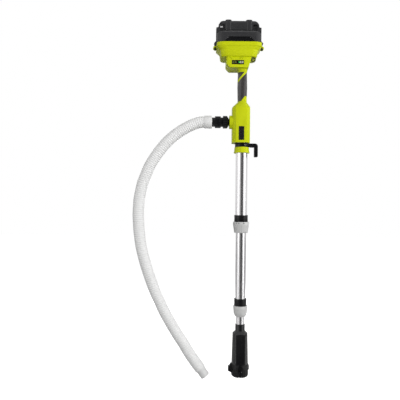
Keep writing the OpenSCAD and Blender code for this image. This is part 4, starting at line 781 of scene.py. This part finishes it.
hose_plastic = moulded_plastic("hose_plastic", (0.83, 0.83, 0.825), (0.81, 0.81, 0.805), 0.50, grain=500,
                               patch=30, grain_height=0.01, Subsurface_Weight=0.12, Subsurface_Scale=0.004,
                               Subsurface_Radius=(1, 1, 1))
nodes = hose_plastic.node_tree.nodes
link = hose_plastic.node_tree.links.new
# Painted shade: the grooves between the ribs are coloured up to 5 per cent darker, as the creases of the
# hose look in shade.
height = nodes.new("ShaderNodeAttribute")
height.attribute_name = "rib"
groove_painted_shade = ranged(nodes, link, height.outputs["Fac"], 0, 0.6, 0.95, 1)
painted_shade_multiply = nodes.new("ShaderNodeMix")
painted_shade_multiply.data_type = "RGBA"
painted_shade_multiply.blend_type = "MULTIPLY"
painted_shade_multiply.inputs["Factor"].default_value = 1
link(nodes["Mix"].outputs["Result"], painted_shade_multiply.inputs["A"])
link(groove_painted_shade, painted_shade_multiply.inputs["B"])
link(painted_shade_multiply.outputs["Result"], nodes["Principled BSDF"].inputs["Base Color"])
dress(hose, hose_plastic)
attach(hose, "root")
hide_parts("hose")

# Hose cuffs. A moulded sleeve of harder white plastic is bonded over each end of the hose.
cuff_plastic = moulded_plastic("cuff_plastic", (0.76, 0.76, 0.755), (0.73, 0.73, 0.725), 0.36, patch=30)
near_cuff = finished("near_cuff", cuff_plastic, edge=0.0006)
end_cuff = finished("end_cuff", cuff_plastic, edge=0.0006)

# Hanging hook and lower ring. A black hook with its own band is clamped by one screw between the
# outlet body and the green ring under it.
finished("hanging_hook", black_plastic, edge=0.0006)
finished("hook_screw", steel, edge=0.0002)
finished("lower_ring", green_plastic, edge=0.0007)

# Tubes. Three drawn aluminium tubes with a clear anodised skin; each slides in the one above.
# Their ends are deburred, and the drawing die leaves fine lines along them.
tube_aluminium, shader, nodes, link = new_finish("tube_aluminium")
shader.inputs["Metallic"].default_value = 1
drawn = stretched(nodes, link, own_place(nodes), (0, 0, 0), (1, 1, 0.01))
streak = cloudy(nodes, link, drawn, 1400, 3)
link(tinted(nodes, link, streak, (0.80, 0.79, 0.80), (0.87, 0.86, 0.87)), shader.inputs["Base Color"])
link(ranged(nodes, link, streak, 0, 1, 0.20, 0.32), shader.inputs["Roughness"])
for node in ("upper_tube", "middle_tube", "lower_tube"):
    dress(frame["nodes"][node], tube_aluminium)

# Twist clamps. A black band is fixed on the lower end of each outer tube, with a split acetal
# collet under it; a fluted light-grey nut turns on the band and squeezes the collet.
nut_plastic = moulded_plastic("nut_plastic", (0.57, 0.57, 0.565), (0.53, 0.53, 0.525), 0.40)
acetal = moulded_plastic("acetal", (0.72, 0.71, 0.67), (0.68, 0.67, 0.63), 0.38, grain=600)
for stage in ("upper", "lower"):
    finished(stage + "_clamp_body", black_plastic, edge=0.0005)
    finished(stage + "_lock_nut", nut_plastic, edge=0.0004)
    dress(frame["nodes"][stage + "_collet"], acetal)

# Turn marks. Plain dark marks are moulded on the upper nut's lip: an arrow each way and a bar
# between them, which show that it turns.
MARK_PROUD = 0.00018
MARK_H = 0.0048
MARK_EDGE = 0.00008
NUT_LIP = 0.008
MARKS = [("left_arrow", 3, 0.0056, 1, 90, -39), ("middle_bar", 4, 0.0060, 0.35, 45, -20),
         ("right_arrow", 3, 0.0056, 1, -90, 15)]
nut_low, nut_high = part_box("upper_lock_nut")
nut_radius = (nut_high.x - nut_low.x) / 2
mark_z = nut_high.z - NUT_LIP / 2
mark_ink = moulded_plastic("mark_ink", (0.020, 0.020, 0.021), (0.016, 0.016, 0.017), 0.5)
for name, sides, width, height_share, pointed, round_by in MARKS:
    middle = (POLE_X, -nut_radius, mark_z)
    bpy.ops.object.select_all(action="DESELECT")
    bpy.ops.mesh.primitive_cylinder_add(vertices=sides, radius=MARK_H / 2, depth=4 * MARK_PROUD,
                                        location=middle, rotation=(radians(90), 0, 0))
    mark = bpy.context.object
    mark.name = name
    settle(mark)
    bpy.ops.object.mode_set(mode="EDIT")
    bpy.ops.mesh.select_all(action="SELECT")
    bpy.ops.transform.rotate(value=radians(pointed), orient_axis="Y", center_override=middle)
    bpy.ops.transform.resize(value=(width / MARK_H, 1, height_share), center_override=middle)
    bpy.ops.transform.rotate(value=radians(-round_by), orient_axis="Z", center_override=(POLE_X, 0, mark_z))
    settle(mark)
    soft_edges(mark, MARK_EDGE)
    dress(mark, mark_ink)
    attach(mark, "upper_nut")

# Sliding pieces and leads in the pole. An acetal piston ring with a rubber seal guides each inner
# tube. A coiled lead follows the tubes down to the motor; its upper coil is a welded copy with a
# mesh of its own.
for node in ("middle_piston", "lower_piston"):
    dress(frame["nodes"][node], acetal)
for node in ("middle_seal", "lower_seal", "coiled_lead_lower", "tail_lead"):
    dress(frame["nodes"][node], black_rubber)
upper_coil = welded_copy("coiled_lead_upper")
smooth_edges(upper_coil, 70)
dress(upper_coil, black_rubber)
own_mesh(upper_coil)

# Pump head. The black pump body is moulded in one piece with a flat front panel between two
# long edges. In it are the motor can, its shaft and seal, the diffuser, impeller and suction plate.
pump_plastic = moulded_plastic("pump_plastic", (0.007, 0.007, 0.008), (0.005, 0.005, 0.006), 0.24,
                               Specular_IOR_Level=0.52)
PANEL_EDGE = 0.0032
PANEL_DEPTH = 0.010
PANEL_REACH = 0.060
pump_low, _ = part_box("pump_body")
pump_body = welded_copy("pump_body")
only(pump_body)
bpy.ops.object.mode_set(mode="EDIT")
bpy.ops.mesh.select_all(action="DESELECT")
bpy.ops.mesh.select_mode(type="EDGE")
bpy.ops.object.mode_set(mode="OBJECT")
points = pump_body.data.vertices
for edge in pump_body.data.edges:
    first, second = (points[i].co for i in edge.vertices)
    long = abs(first.z - second.z) > PANEL_REACH
    in_front = max(first.y, second.y) < pump_low.y + PANEL_DEPTH
    edge.select = long and in_front and abs(first.x - POLE_X) > PANEL_DEPTH
bpy.ops.object.mode_set(mode="EDIT")
bpy.ops.mesh.bevel(offset=PANEL_EDGE, segments=5, affect="EDGES")
bpy.ops.object.mode_set(mode="OBJECT")
soft_edges(pump_body, edge=0.0007)
dress(pump_body, pump_plastic)
impeller_plastic = moulded_plastic("impeller_plastic", (0.080, 0.080, 0.085), (0.068, 0.068, 0.072), 0.34)
for node in ("motor_can", "motor_shaft"):
    dress(frame["nodes"][node], steel)
for node in ("diffuser", "impeller"):
    dress(frame["nodes"][node], impeller_plastic)
dress(frame["nodes"]["shaft_seal"], black_rubber)
dress(frame["nodes"]["suction_plate"], black_plastic)

# Strainer. A black basket with slots round its foot and in its floor slides off downwards for
# cleaning; its lugs are the finger holds.
finished("strainer", black_plastic, edge=0.0005)
